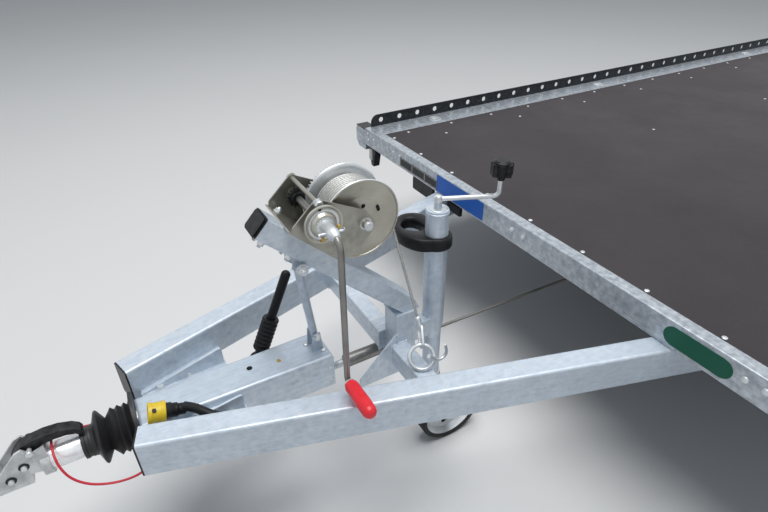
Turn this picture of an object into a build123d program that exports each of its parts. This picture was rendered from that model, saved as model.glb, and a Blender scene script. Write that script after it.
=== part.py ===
from build123d import *
from math import acos, atan2, cos, degrees, hypot, pi, radians, sin, sqrt, tan
import os

# Twin-axle car transporter trailer, parked on its four wheels and its jockey wheel.
# Millimetres. X is forward, Y is left, Z is up, and the ground is Z = 0.
# The bed is in the middle, the drawbar ahead of it, and the winch and jockey leg just in front.

os.makedirs("parts", exist_ok=True)

# Overall sizes
DECK_HEIGHT = 630.0          # ground to the top of the floor
BED_LENGTH = 4300.0
BED_WIDTH = 2200.0
NOSE_REACH = 1580.0          # bed's front face to the tip of the coupling
REAR_OVERHANG = 30.0         # lamps behind the rear beam
BED_FRONT = (NOSE_REACH + BED_LENGTH + REAR_OVERHANG) / 2 - NOSE_REACH
BED_REAR = BED_FRONT - BED_LENGTH
SEAT_GAP = 0.3               # between pieces that turn, slide or rest without touching

# Bed frame, folded from sheet
EDGE_DEPTH = 80.0            # height of the beams round the bed
EDGE_SHEET = 3.0
EDGE_BEND_R = 4.0            # outer radius of the folds
SIDE_TOP_WIDTH = 120.0       # flat top of each side beam
SIDE_FOOT_WIDTH = 70.0
FRONT_TOP_WIDTH = 39.0
FLOOR_THICKNESS = 18.0
CROSS_WIDTH = 50.0           # flanges of the cross members under the floor
CROSS_PITCH = 500.0
EDGE_UNDER = DECK_HEIGHT - EDGE_DEPTH

# Chassis rails and drawbar beams hang under the bed frame
CHASSIS_DEPTH = 100.0
CHASSIS_FLANGE = 60.0
CHASSIS_SHEET = 4.0
CHASSIS_INNER_Y = 720.0
CHASSIS_FRONT_SET = 150.0    # behind the bed's front face
CHASSIS_REAR_SET = 100.0     # ahead of its rear face
CHASSIS_FRONT = BED_FRONT - CHASSIS_FRONT_SET
CHASSIS_REAR = BED_REAR + CHASSIS_REAR_SET
CHASSIS_UNDER = EDGE_UNDER - CHASSIS_DEPTH
DRAWBAR_WIDTH = 60.0
DRAWBAR_WALL = 4.0
DRAWBAR_CORNER_R = 7.0
DRAWBAR_TIP_X = BED_FRONT + 1215.0
DRAWBAR_TIP_Y = 147.3        # outer front corner of each drawbar beam
DRAWBAR_ANGLE = 17.13        # each beam from the centre line, in degrees
CAP_THICKNESS = 4.0
CAP_CROWN = 3.0              # the winch arm's cap stands out by this much more

# Lashing rails stand on the outer edges of the side beams
RAIL_HEIGHT = 53.0
RAIL_SHEET = 4.0
RAIL_HOLE_PITCH = 100.0
RAIL_HOLE_R = 11.5
RAIL_HOLE_UP = 26.7
RAIL_FIRST_HOLE = 82.0       # from the bed's front face
RAIL_FRONT_SET = 30.0
RAIL_CORNER_R = 35.0

# Running gear
WHEEL_R = 220.0
TYRE_WIDTH = 196.0
TRACK_HALF = 930.0
BOGIE_SET = 250.0            # axles' middle, behind the middle of the bed
BOGIE_X = (BED_FRONT + BED_REAR) / 2 - BOGIE_SET
AXLE_SPREAD = 620.0
RIM_R = 127.0                # seat of the tyre on the rim
RIM_HALF_WIDTH = 72.0
RIM_FLANGE_R = 138.0
RIM_SHEET = 4.0
DRUM_R = 100.0
DRUM_INNER_Y = 828.0         # open side of the brake drum
BACKPLATE_R = 108.0
BACKPLATE_Y = 815.0
STUB_R = 17.5
AXLE_TUBE = 80.0             # square torsion tube
AXLE_DROP = 65.0             # tube centre below the chassis rails
AXLE_Z = CHASSIS_UNDER - AXLE_DROP
ARM_BACK = 90.0              # trailing arm, tube centre to wheel centre
ARM_THICKNESS = 22.0
ARM_Y = 786.0
BRAKE_ROD_R = 5.0
BRAKE_ROD_REAR_Z = AXLE_Z - 60.0     # where the brake rod meets the front axle's bracket
GUARD_R = 262.0
GUARD_SHEET = 4.0
GUARD_INNER_Y = 818.0
GUARD_OUTER_Y = 1045.0
GUARD_END_Z = 250.0          # lower ends of the arches
GUARD_VALLEY_Z = WHEEL_R + 120.0       # web that joins the two arches

# Ramps lie in two shafts that open at the rear
RAMP_LENGTH = 1800.0
RAMP_WIDTH = 300.0
RAMP_DEPTH = 60.0
RAMP_Y = 480.0
SHAFT_CLEAR = 10.0
SHAFT_SHEET = 2.5

# Overrun unit, under and ahead of the meeting of the drawbar beams
HOUSING_REAR = BED_FRONT + 717.0
HOUSING_FRONT = BED_FRONT + 1200.0
HOUSING_TOP = DECK_HEIGHT - 130.0
HOUSING_DEPTH = 105.0
HOUSING_HALF_REAR = 58.0
HOUSING_HALF_FRONT = 50.0
HOUSING_WALL = 6.0
HOUSING_NOSE = 22.0          # bored block that carries the tow tube
TOW_AXIS_Z = DECK_HEIGHT - 162.0
TOW_R = 30.0
TOW_WALL = 5.0
TOW_REAR = BED_FRONT + 1000.0
TOW_FRONT = BED_FRONT + 1396.0

# Coupling head
HEAD_REAR = BED_FRONT + 1386.0
HEAD_FRONT = BED_FRONT + NOSE_REACH
NECK_HALF = 25.0             # two cheeks beside the handle
CHEEK = 6.0
BALL_R = 25.0
BALL_WALL = 9.0
BALL_X = BED_FRONT + 1532.0
BALL_Z = DECK_HEIGHT - 170.0
SOCKET_DEPTH = 26.0          # rim below the ball's centre

# Drawbar cross member and winch post
MEMBER_REAR = BED_FRONT + 527.0
MEMBER_FRONT = BED_FRONT + 576.0
MEMBER_TOP = DECK_HEIGHT - 117.0
MEMBER_CORNER_R = 5.0
POST_REAR = BED_FRONT + 497.0
POST_FRONT = BED_FRONT + 558.0
POST_WALL = 4.0
POST_TOP = DECK_HEIGHT - 26.0
POST_FOOT = DECK_HEIGHT - 222.0
GUSSET_SHEET = 6.0           # plate that flares forward on the post's left side
GUSSET_TOP = DECK_HEIGHT - 85.0
GUSSET_REACH = 112.0         # and as far down as it reaches forward
WINCH_Y = 82.0               # centre of the winch arm and of its post
ARM_WIDTH = 60.0
ARM_DEPTH = 50.0
ARM_CORNER_R = 6.0
ARM_FRONT_TOP = (BED_FRONT + 852.0, DECK_HEIGHT + 341.0)
ARM_REAR_TOP = (BED_FRONT + 505.0, DECK_HEIGHT + 12.0)
ARM_HEEL_BACK = 11.0         # arm's heel overhangs the post rearwards
STRUT_BACK = 133.7           # strut's upper eye, behind the arm's front end
STRUT_EYE_DROP = 10.5        # and below the arm
STRUT_FOOT_SET = 27.0        # lower eye, ahead of the housing's rear end
STRUT_FOOT_RISE = 45.0

# Winch
DRUM_AXIS = (BED_FRONT + 651.0, DECK_HEIGHT + 288.0)
CRANK_AXIS = (BED_FRONT + 756.0, DECK_HEIGHT + 326.0)
PLATE_NEAR_Y = 135.0
PLATE_FAR_Y = -4.0
PLATE_SHEET = 4.0
FLANGE_R = 92.5
FLANGE_SHEET = 3.0
FLANGE_DISH = 7.0            # flanges flare outwards towards their rolled rims
FLANGE_NEAR_Y = 118.0
FLANGE_FAR_Y = 26.0
GEAR_THICKNESS = 9.0
GEAR_Y = 12.0                # far face of the drum's gear
GEAR_TEETH = 70
PINION_TEETH = 16
HUB_R = 22.0
SHAFT_R = 8.0
WINDING_R = 72.0
ROPE_DIAMETER = 7.0
CRANK_Y = 236.0              # plane in which the crank swings
CRANK_LENGTH = 368.0
CRANK_ROD_R = 7.0
GRIP_R = 16.5
GRIP_LENGTH = 106.0

# Jockey leg
JOCKEY_X = BED_FRONT + 417.0
JOCKEY_Y = 77.0
LEG_R = 30.0
LEG_WALL = 2.5
LEG_TOP = DECK_HEIGHT + 231.0
LEG_UNDER = DECK_HEIGHT - 165.0
STEM_R = 25.0
JOCKEY_WHEEL_R = 110.0
JOCKEY_WHEEL_WIDTH = 60.0
JOCKEY_TRAIL = 75.0
JOCKEY_PIN_R = 8.0
STEM_TRAVEL = 140.0

# Levers
LEVER_Y = -84.0
LEVER_PIVOT = (BED_FRONT + 884.0, DECK_HEIGHT - 180.0)
LEVER_R = 12.5
SLEEVE_R = 22.5
LEVER_LENGTH = 279.0
LEVER_LEAN = 24.5            # back from upright, in degrees
HANDLE_PIVOT = (BED_FRONT + 1414.0, DECK_HEIGHT - 108.0)
HANDLE_HALF = 13.5
HANDLE_WALL = 3.5
HANDLE_PIN_R = 5.0
HANDLE_HUB_R = 10.0
PIN_GAP = 0.05               # pin in its bore, on the radius


def save(piece, name):
    """Write one finished sub-part as its own file."""
    piece.part.label = name
    export_step(piece.part, f"parts/{name}.step")


def side_plane(y):
    """Upright plane seen from the right-hand side: drawing axes are X and Z."""
    return Plane(origin=(0, y, 0), x_dir=(1, 0, 0), z_dir=(0, -1, 0))


def front_plane(x):
    """Upright plane across the trailer: drawing axes are Y and Z."""
    return Plane(origin=(x, 0, 0), x_dir=(0, 1, 0), z_dir=(1, 0, 0))


def slab_y(points, low, high, mode=Mode.ADD):
    """Side outline in X and Z, solid from y = low to y = high."""
    with BuildSketch(side_plane(high)) as face:
        with BuildLine():
            Polyline(*points, close=True)
        make_face()
    extrude(to_extrude=face.sketch, amount=high - low, mode=mode)


def slab_x(points, low, high, mode=Mode.ADD):
    """Cross outline in Y and Z, solid from x = low to x = high."""
    with BuildSketch(front_plane(low)) as face:
        with BuildLine():
            Polyline(*points, close=True)
        make_face()
    extrude(to_extrude=face.sketch, amount=high - low, mode=mode)


def slab_z(points, low, high, mode=Mode.ADD):
    """Plan outline in X and Y, solid from z = low to z = high."""
    with BuildSketch(Plane.XY.offset(low)) as face:
        with BuildLine():
            Polyline(*points, close=True)
        make_face()
    extrude(to_extrude=face.sketch, amount=high - low, mode=mode)


def block(x, y, z, mode=Mode.ADD):
    """Straight block between pairs of X, Y and Z values."""
    with BuildSketch(Plane.XY.offset(z[0])) as face:
        with Locations(((x[0] + x[1]) / 2, (y[0] + y[1]) / 2)):
            Rectangle(x[1] - x[0], y[1] - y[0])
    extrude(to_extrude=face.sketch, amount=z[1] - z[0], mode=mode)


def rod(start, end, radius, mode=Mode.ADD):
    """Round bar from one point to another."""
    run = Vector(*end) - Vector(*start)
    with BuildSketch(Plane(origin=start, z_dir=run)) as face:
        Circle(radius)
    extrude(to_extrude=face.sketch, amount=run.length, mode=mode)


def bent_rod(points, bends, radius, mode=Mode.ADD):
    """Round bar bent at its inner points, with one bend radius for each of them."""
    with BuildLine() as route:
        FilletPolyline(*points, radius=bends)
    with BuildSketch(Plane(origin=points[0], z_dir=Vector(*points[1]) - Vector(*points[0]))) as face:
        Circle(radius)
    sweep(sections=face.sketch, path=route.wire(), mode=mode)


def turned(axis_point, axis_dir, profile, mode=Mode.ADD):
    """Turned piece: profile points are (radius, distance along the axis)."""
    plane = Plane(origin=axis_point, x_dir=Vector(0, 0, 1).cross(Vector(*axis_dir))
                  if abs(axis_dir[2]) < 0.9 else (1, 0, 0), z_dir=axis_dir)
    section = Plane(origin=plane.origin, x_dir=plane.x_dir, z_dir=-plane.y_dir)
    with BuildSketch(section) as face:
        with BuildLine():
            Polyline(*profile, close=True)
        make_face()
    revolve(profiles=face.sketch, axis=Axis(plane.origin, plane.z_dir), mode=mode)


# Drawbar beams: rectangular tubes that converge from the chassis rails to the overrun unit
DRAWBAR_DIR = (-cos(radians(DRAWBAR_ANGLE)), sin(radians(DRAWBAR_ANGLE)))
DRAWBAR_IN = (-sin(radians(DRAWBAR_ANGLE)), -cos(radians(DRAWBAR_ANGLE)))


def drawbar_point(inward, side, y=None, back=None):
    """Plan point on a line that runs along a drawbar beam, so far in from its outer face."""
    x0 = DRAWBAR_TIP_X + DRAWBAR_IN[0] * inward
    y0 = DRAWBAR_TIP_Y + DRAWBAR_IN[1] * inward
    if back is None:
        back = (y - y0) / DRAWBAR_DIR[1]
    return (x0 + DRAWBAR_DIR[0] * back, side * (y0 + DRAWBAR_DIR[1] * back))


def drawbar_inner_y(x):
    """Inner face of a drawbar beam, measured from the centre line."""
    edge = drawbar_point(DRAWBAR_WIDTH, 1, back=0)
    return edge[1] + (edge[0] - x) * tan(radians(DRAWBAR_ANGLE))


for side, side_name in ((1, "left"), (-1, "right")):
    with BuildPart() as drawbar_beam:
        slab_z([drawbar_point(0, side, back=0), drawbar_point(0, side, y=CHASSIS_INNER_Y),
                drawbar_point(DRAWBAR_WIDTH, side, y=CHASSIS_INNER_Y),
                drawbar_point(DRAWBAR_WIDTH, side, back=0)], CHASSIS_UNDER, EDGE_UNDER)
        along = Axis((0, 0, 0), (DRAWBAR_DIR[0], side * DRAWBAR_DIR[1], 0))
        fillet(drawbar_beam.edges().filter_by(along), DRAWBAR_CORNER_R)
        slab_z([drawbar_point(DRAWBAR_WALL, side, back=-1),
                drawbar_point(DRAWBAR_WALL, side, y=CHASSIS_INNER_Y + 1),
                drawbar_point(DRAWBAR_WIDTH - DRAWBAR_WALL, side, y=CHASSIS_INNER_Y + 1),
                drawbar_point(DRAWBAR_WIDTH - DRAWBAR_WALL, side, back=-1)],
               CHASSIS_UNDER + DRAWBAR_WALL, EDGE_UNDER - DRAWBAR_WALL, Mode.SUBTRACT)
    save(drawbar_beam, f"{side_name}_drawbar_beam")

# Plastic caps close the front ends of the drawbar beams and of the winch arm
ARM_RUN = (ARM_FRONT_TOP[0] - ARM_REAR_TOP[0], ARM_FRONT_TOP[1] - ARM_REAR_TOP[1])
ARM_LENGTH = hypot(*ARM_RUN)
ARM_DIR = (ARM_RUN[0] / ARM_LENGTH, ARM_RUN[1] / ARM_LENGTH)
ARM_UP = (-ARM_DIR[1], ARM_DIR[0])


def arm_point(along, above):
    """Side-view point on the winch arm: along from its front end, above its top face."""
    return (ARM_FRONT_TOP[0] + ARM_DIR[0] * along + ARM_UP[0] * above,
            ARM_FRONT_TOP[1] + ARM_DIR[1] * along + ARM_UP[1] * above)


ARM_LOW_Y = WINCH_Y - ARM_WIDTH / 2
ARM_HIGH_Y = WINCH_Y + ARM_WIDTH / 2
with BuildPart() as end_caps:
    for side in (1, -1):
        tip = drawbar_point(DRAWBAR_WIDTH / 2, side, back=0)
        ahead = (-DRAWBAR_DIR[0], -side * DRAWBAR_DIR[1], 0)
        with BuildSketch(Plane(origin=(*tip, (CHASSIS_UNDER + EDGE_UNDER) / 2), x_dir=(0, 0, 1), z_dir=ahead)) as cap:
            RectangleRounded(EDGE_UNDER - CHASSIS_UNDER, DRAWBAR_WIDTH, DRAWBAR_CORNER_R)
        extrude(to_extrude=cap.sketch, amount=CAP_THICKNESS)
    arm_end = arm_point(0, -ARM_DEPTH / 2)
    for reach, shrink in ((CAP_THICKNESS, 0), (CAP_THICKNESS + CAP_CROWN, 2 * CAP_CROWN)):
        with BuildSketch(Plane(origin=(arm_end[0], WINCH_Y, arm_end[1]), x_dir=(0, 1, 0),
                               z_dir=(ARM_DIR[0], 0, ARM_DIR[1]))) as cap:
            RectangleRounded(ARM_WIDTH - shrink, ARM_DEPTH - shrink, ARM_CORNER_R)
        extrude(to_extrude=cap.sketch, amount=reach)
save(end_caps, "end_caps")

# Chassis rails: channels, open outwards
with BuildPart() as chassis_rails:
    for side in (1, -1):
        web = CHASSIS_INNER_Y
        lip = CHASSIS_INNER_Y + CHASSIS_FLANGE
        slab_x([(side * web, EDGE_UNDER), (side * lip, EDGE_UNDER),
                (side * lip, EDGE_UNDER - CHASSIS_SHEET),
                (side * (web + CHASSIS_SHEET), EDGE_UNDER - CHASSIS_SHEET),
                (side * (web + CHASSIS_SHEET), CHASSIS_UNDER + CHASSIS_SHEET),
                (side * lip, CHASSIS_UNDER + CHASSIS_SHEET), (side * lip, CHASSIS_UNDER),
                (side * web, CHASSIS_UNDER)], CHASSIS_REAR, CHASSIS_FRONT)
save(chassis_rails, "chassis_rails")

# Bed frame: folded front, side and rear beams
BED_HALF = BED_WIDTH / 2
FLOOR_HALF = BED_HALF - SIDE_TOP_WIDTH
SIDE_FRONT = BED_FRONT - FRONT_TOP_WIDTH
SIDE_REAR = BED_REAR + FRONT_TOP_WIDTH
CROSS_TOP = DECK_HEIGHT - FLOOR_THICKNESS

with BuildPart() as front_beam:
    slab_y([(SIDE_FRONT, DECK_HEIGHT), (BED_FRONT, DECK_HEIGHT), (BED_FRONT, EDGE_UNDER),
            (SIDE_FRONT, EDGE_UNDER), (SIDE_FRONT, EDGE_UNDER + EDGE_SHEET),
            (BED_FRONT - EDGE_SHEET, EDGE_UNDER + EDGE_SHEET),
            (BED_FRONT - EDGE_SHEET, DECK_HEIGHT - EDGE_SHEET),
            (SIDE_FRONT + EDGE_SHEET, DECK_HEIGHT - EDGE_SHEET),
            (SIDE_FRONT + EDGE_SHEET, CROSS_TOP), (SIDE_FRONT, CROSS_TOP)], -BED_HALF, BED_HALF)
    fillet(front_beam.edges().filter_by(Axis.Y).group_by(Axis.X)[-1], EDGE_BEND_R)
save(front_beam, "bed_front_beam")

for side, side_name in ((1, "left"), (-1, "right")):
    with BuildPart() as side_beam:
        lip_y = FLOOR_HALF
        slab_x([(side * y, z) for y, z in (
            (lip_y, DECK_HEIGHT), (BED_HALF, DECK_HEIGHT), (BED_HALF, EDGE_UNDER),
            (BED_HALF - SIDE_FOOT_WIDTH, EDGE_UNDER),
            (BED_HALF - SIDE_FOOT_WIDTH, EDGE_UNDER + EDGE_SHEET),
            (BED_HALF - EDGE_SHEET, EDGE_UNDER + EDGE_SHEET),
            (BED_HALF - EDGE_SHEET, DECK_HEIGHT - EDGE_SHEET),
            (lip_y + EDGE_SHEET, DECK_HEIGHT - EDGE_SHEET),
            (lip_y + EDGE_SHEET, CROSS_TOP), (lip_y, CROSS_TOP))], SIDE_REAR, SIDE_FRONT)
        outer = side_beam.edges().filter_by(Axis.X).group_by(Axis.Y)[-1 if side > 0 else 0]
        fillet(outer, EDGE_BEND_R)
    save(side_beam, f"{side_name}_side_beam")

# Rear beam with the lamp board below it, cut out where the ramps slide in
LIGHT_BOARD_UNDER = DECK_HEIGHT - 200.0
LIGHT_BOARD_HALF = 1040.0
SHAFT_HALF = RAMP_WIDTH / 2 + SHAFT_CLEAR
SHAFT_TOP = EDGE_UNDER
SHAFT_UNDER = CHASSIS_UNDER
RAMP_UNDER = SHAFT_UNDER + SHAFT_SHEET + SEAT_GAP
with BuildPart() as rear_beam:
    slab_y([(SIDE_REAR, DECK_HEIGHT), (BED_REAR, DECK_HEIGHT), (BED_REAR, LIGHT_BOARD_UNDER),
            (BED_REAR + EDGE_SHEET, LIGHT_BOARD_UNDER), (BED_REAR + EDGE_SHEET, DECK_HEIGHT - EDGE_SHEET),
            (SIDE_REAR, DECK_HEIGHT - EDGE_SHEET)], -BED_HALF, BED_HALF)
    slab_y([(BED_REAR + EDGE_SHEET, EDGE_UNDER), (SIDE_REAR, EDGE_UNDER),
            (SIDE_REAR, EDGE_UNDER + EDGE_SHEET), (BED_REAR + EDGE_SHEET, EDGE_UNDER + EDGE_SHEET)],
           -BED_HALF, BED_HALF)
    for side in (1, -1):
        block((BED_REAR - 1, SIDE_REAR), sorted((side * LIGHT_BOARD_HALF, side * (BED_HALF + 1))),
              (LIGHT_BOARD_UNDER - 1, EDGE_UNDER), Mode.SUBTRACT)
        block((BED_REAR - 1, SIDE_REAR), (side * RAMP_Y - SHAFT_HALF, side * RAMP_Y + SHAFT_HALF),
              (SHAFT_UNDER + SHAFT_SHEET, SHAFT_TOP), Mode.SUBTRACT)
save(rear_beam, "bed_rear_beam")

# Cross members: channels under the floor, from one side beam's web to the other's
CROSS_END = FLOOR_HALF
CROSS_COUNT = int((BED_LENGTH - CROSS_PITCH / 2) // CROSS_PITCH)
with BuildPart() as cross_members:
    for index in range(CROSS_COUNT):
        rear = BED_FRONT - CROSS_PITCH * (index + 1)
        slab_y([(rear, CROSS_TOP), (rear + CROSS_WIDTH, CROSS_TOP),
                (rear + CROSS_WIDTH, CROSS_TOP - EDGE_SHEET), (rear + EDGE_SHEET, CROSS_TOP - EDGE_SHEET),
                (rear + EDGE_SHEET, EDGE_UNDER + EDGE_SHEET),
                (rear + CROSS_WIDTH, EDGE_UNDER + EDGE_SHEET), (rear + CROSS_WIDTH, EDGE_UNDER),
                (rear, EDGE_UNDER)], -CROSS_END - EDGE_SHEET, CROSS_END + EDGE_SHEET)
save(cross_members, "cross_members")

with BuildPart() as floor_panel:
    block((SIDE_REAR, SIDE_FRONT), (-FLOOR_HALF, FLOOR_HALF), (CROSS_TOP, DECK_HEIGHT))
save(floor_panel, "floor_panel")

# Lashing rails, drilled along their whole length
RAIL_FRONT = BED_FRONT - RAIL_FRONT_SET
RAIL_REAR = BED_REAR + RAIL_FRONT_SET
RAIL_HOLES = int((BED_FRONT - RAIL_FIRST_HOLE - RAIL_REAR - RAIL_HOLE_R) // RAIL_HOLE_PITCH) + 1
with BuildPart() as lashing_rails:
    for side in (1, -1):
        high = BED_HALF if side > 0 else -BED_HALF + RAIL_SHEET
        with BuildSketch(side_plane(high)) as rail_face:
            with Locations(((RAIL_FRONT + RAIL_REAR) / 2, DECK_HEIGHT + RAIL_HEIGHT / 2)):
                Rectangle(RAIL_FRONT - RAIL_REAR, RAIL_HEIGHT)
            fillet(rail_face.vertices().group_by(Axis.Y)[-1], RAIL_CORNER_R)
            hole_places = [(BED_FRONT - RAIL_FIRST_HOLE - RAIL_HOLE_PITCH * i, DECK_HEIGHT + RAIL_HOLE_UP)
                           for i in range(RAIL_HOLES)]
            with Locations(*hole_places):
                Circle(RAIL_HOLE_R, mode=Mode.SUBTRACT)
        extrude(amount=RAIL_SHEET)
save(lashing_rails, "lashing_rails")

# Corner brackets on the bed's front corners, with the front lamps below the beam
BRACKET_REACH = 92.0
BRACKET_DEPTH = 95.0
BRACKET_LENGTH = 60.0
BRACKET_TOP = DECK_HEIGHT - 10.0
with BuildPart() as corner_brackets:
    for side in (1, -1):
        slab_x([(side * BED_HALF, BRACKET_TOP), (side * (BED_HALF + BRACKET_REACH - 12), BRACKET_TOP),
                (side * (BED_HALF + BRACKET_REACH), BRACKET_TOP - 12),
                (side * (BED_HALF + BRACKET_REACH), BRACKET_TOP - BRACKET_DEPTH + 25),
                (side * (BED_HALF + BRACKET_REACH - 25), BRACKET_TOP - BRACKET_DEPTH),
                (side * BED_HALF, BRACKET_TOP - BRACKET_DEPTH)],
               BED_FRONT - BRACKET_LENGTH, BED_FRONT)
save(corner_brackets, "corner_brackets")

FRONT_LAMP_Y = 1020.0
FRONT_LAMP_WIDTH = 110.0
FRONT_LAMP_HEIGHT = 90.0
FRONT_LAMP_DEPTH = 40.0
with BuildPart() as front_lamps:
    for side in (1, -1):
        y = side * FRONT_LAMP_Y
        block((BED_FRONT - FRONT_LAMP_DEPTH, BED_FRONT), (y - FRONT_LAMP_WIDTH / 2, y + FRONT_LAMP_WIDTH / 2),
              (EDGE_UNDER - FRONT_LAMP_HEIGHT, EDGE_UNDER))
    fillet(front_lamps.edges().filter_by(Axis.X), 12)
save(front_lamps, "front_lamps")

REAR_LAMP_WIDTH = 220.0
REAR_LAMP_HEIGHT = 90.0
REAR_LAMP_Y = 900.0
with BuildPart() as rear_lamps:
    for side in (1, -1):
        y = side * REAR_LAMP_Y
        block((BED_REAR - REAR_OVERHANG, BED_REAR), (y - REAR_LAMP_WIDTH / 2, y + REAR_LAMP_WIDTH / 2),
              (LIGHT_BOARD_UNDER + 10, LIGHT_BOARD_UNDER + 10 + REAR_LAMP_HEIGHT))
    fillet(rear_lamps.edges().filter_by(Axis.X), 14)
save(rear_lamps, "rear_lamps")

# Ramp shafts: trays under the cross members
with BuildPart() as ramp_shafts:
    for side in (1, -1):
        low = side * RAMP_Y - SHAFT_HALF
        high = side * RAMP_Y + SHAFT_HALF
        slab_x([(low - SHAFT_SHEET, SHAFT_TOP), (low, SHAFT_TOP), (low, SHAFT_UNDER + SHAFT_SHEET),
                (high, SHAFT_UNDER + SHAFT_SHEET), (high, SHAFT_TOP), (high + SHAFT_SHEET, SHAFT_TOP),
                (high + SHAFT_SHEET, SHAFT_UNDER), (low - SHAFT_SHEET, SHAFT_UNDER)],
               SIDE_REAR, BED_REAR + RAMP_LENGTH + 40)
save(ramp_shafts, "ramp_shafts")

# Ramps: two side rails, hook plate and rungs in one welded frame
RUNG_PITCH = 100.0
RUNG_SIZE = 25.0
RAMP_REAR = BED_REAR + 8.0
RAMP_RAIL = 30.0
RUNG_COUNT = int((RAMP_LENGTH - RUNG_PITCH) // RUNG_PITCH)
for side, side_name in ((1, "left"), (-1, "right")):
    with BuildPart() as ramp:
        low = side * RAMP_Y - RAMP_WIDTH / 2
        high = side * RAMP_Y + RAMP_WIDTH / 2
        for rail_low in (low, high - RAMP_RAIL):
            block((RAMP_REAR, RAMP_REAR + RAMP_LENGTH), (rail_low, rail_low + RAMP_RAIL),
                  (RAMP_UNDER, RAMP_UNDER + RAMP_DEPTH))
        for index in range(RUNG_COUNT):
            x = RAMP_REAR + RUNG_PITCH * (index + 1)
            block((x - RUNG_SIZE / 2, x + RUNG_SIZE / 2), (low + RAMP_RAIL, high - RAMP_RAIL),
                  (RAMP_UNDER + RAMP_DEPTH - RUNG_SIZE - 10, RAMP_UNDER + RAMP_DEPTH - 10))
        for x in (RAMP_REAR, RAMP_REAR + RAMP_LENGTH - 40):
            block((x, x + 40), (low + RAMP_RAIL, high - RAMP_RAIL),
                  (RAMP_UNDER + 20, RAMP_UNDER + RAMP_DEPTH - 10))
    save(ramp, f"{side_name}_ramp")

# Axles: square torsion tube, brackets up to the chassis rails, trailing arms, stubs and backplates
for x_centre, axle_name in ((BOGIE_X + AXLE_SPREAD / 2, "front_axle"), (BOGIE_X - AXLE_SPREAD / 2, "rear_axle")):
    tube_x = x_centre + ARM_BACK
    half = AXLE_TUBE / 2
    with BuildPart() as axle:
        block((tube_x - half, tube_x + half), (-ARM_Y, ARM_Y), (AXLE_Z - half, AXLE_Z + half))
        fillet(axle.edges().filter_by(Axis.Y), 12)
        for side in (1, -1):
            centre_y = side * (CHASSIS_INNER_Y + CHASSIS_FLANGE / 2)
            block((tube_x - half - 30, tube_x + half + 30), (centre_y - 30, centre_y + 30),
                  (AXLE_Z + half - 2, CHASSIS_UNDER))
            slope = atan2(AXLE_Z - WHEEL_R, ARM_BACK)
            arm_low, arm_high = sorted((side * ARM_Y, side * (ARM_Y + ARM_THICKNESS)))
            with BuildSketch(side_plane(arm_high)) as arm_face:
                with Locations(((tube_x + x_centre) / 2, (AXLE_Z + WHEEL_R) / 2)):
                    SlotCenterToCenter(hypot(ARM_BACK, AXLE_Z - WHEEL_R), 76, rotation=degrees(slope))
            extrude(to_extrude=arm_face.sketch, amount=arm_high - arm_low)
            plate_y = side * BACKPLATE_Y
            rod((x_centre, side * (ARM_Y + 2), WHEEL_R), (x_centre, side * (BACKPLATE_Y + 6), WHEEL_R), 34)
            rod((x_centre, plate_y, WHEEL_R), (x_centre, side * (BACKPLATE_Y + 8), WHEEL_R), BACKPLATE_R)
            rod((x_centre, plate_y, WHEEL_R), (x_centre, side * (TRACK_HALF + 30), WHEEL_R), STUB_R)
        if axle_name == "front_axle":
            block((tube_x + half - 10, tube_x + half), (-25, 25), (BRAKE_ROD_REAR_Z - 22, AXLE_Z - half + 14))
    save(axle, axle_name)

# Mudguards: a double arch on each side, hung from the side beams
with BuildPart() as mudguards:
    for side in (1, -1):
        low, high = sorted((side * GUARD_INNER_Y, side * GUARD_OUTER_Y))
        with BuildSketch(side_plane(high)) as guard_face:
            with Locations((BOGIE_X - AXLE_SPREAD / 2, WHEEL_R), (BOGIE_X + AXLE_SPREAD / 2, WHEEL_R)):
                Circle(GUARD_R + GUARD_SHEET)
            with Locations((BOGIE_X - AXLE_SPREAD / 2, WHEEL_R), (BOGIE_X + AXLE_SPREAD / 2, WHEEL_R)):
                Circle(GUARD_R, mode=Mode.SUBTRACT)
            with Locations((BOGIE_X, GUARD_END_Z - GUARD_R)):
                Rectangle(AXLE_SPREAD + 3 * GUARD_R, 2 * GUARD_R, mode=Mode.SUBTRACT)
            valley = AXLE_SPREAD - 2 * sqrt(GUARD_R ** 2 - (GUARD_VALLEY_Z - WHEEL_R) ** 2)
            with Locations((BOGIE_X, GUARD_VALLEY_Z)):
                Rectangle(valley, GUARD_SHEET)
        extrude(to_extrude=guard_face.sketch, amount=high - low)
        for offset in (-AXLE_SPREAD / 2, AXLE_SPREAD / 2):
            x = BOGIE_X + offset
            hanger = sorted((side * (GUARD_OUTER_Y - 6), side * (GUARD_OUTER_Y - 6 - GUARD_SHEET)))
            block((x - 25, x + 25), hanger, (WHEEL_R + GUARD_R, EDGE_UNDER))
save(mudguards, "mudguards")

# Wheels: disc, rim and brake drum turn together on the stub; the tyre is its own piece
TYRE_SECTION = (                       # radius, distance from the wheel's middle plane
    (RIM_R + SEAT_GAP, RIM_HALF_WIDTH - RIM_SHEET - SEAT_GAP),
    (RIM_FLANGE_R + SEAT_GAP, RIM_HALF_WIDTH - RIM_SHEET - SEAT_GAP),
    (160.0, TYRE_WIDTH / 2), (198.0, TYRE_WIDTH / 2 - 2), (WHEEL_R, TYRE_WIDTH / 2 - 22))
WHEEL_PLACES = (                       # name, x of the wheel, side
    ("front_left", BOGIE_X + AXLE_SPREAD / 2, 1), ("front_right", BOGIE_X + AXLE_SPREAD / 2, -1),
    ("rear_left", BOGIE_X - AXLE_SPREAD / 2, 1), ("rear_right", BOGIE_X - AXLE_SPREAD / 2, -1))
DISC_OUT = 18.0                        # disc face, outboard of the middle plane
VENT_COUNT = 12
VENT_R = 7.0
STUB_BORE_R = STUB_R + SEAT_GAP
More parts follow.
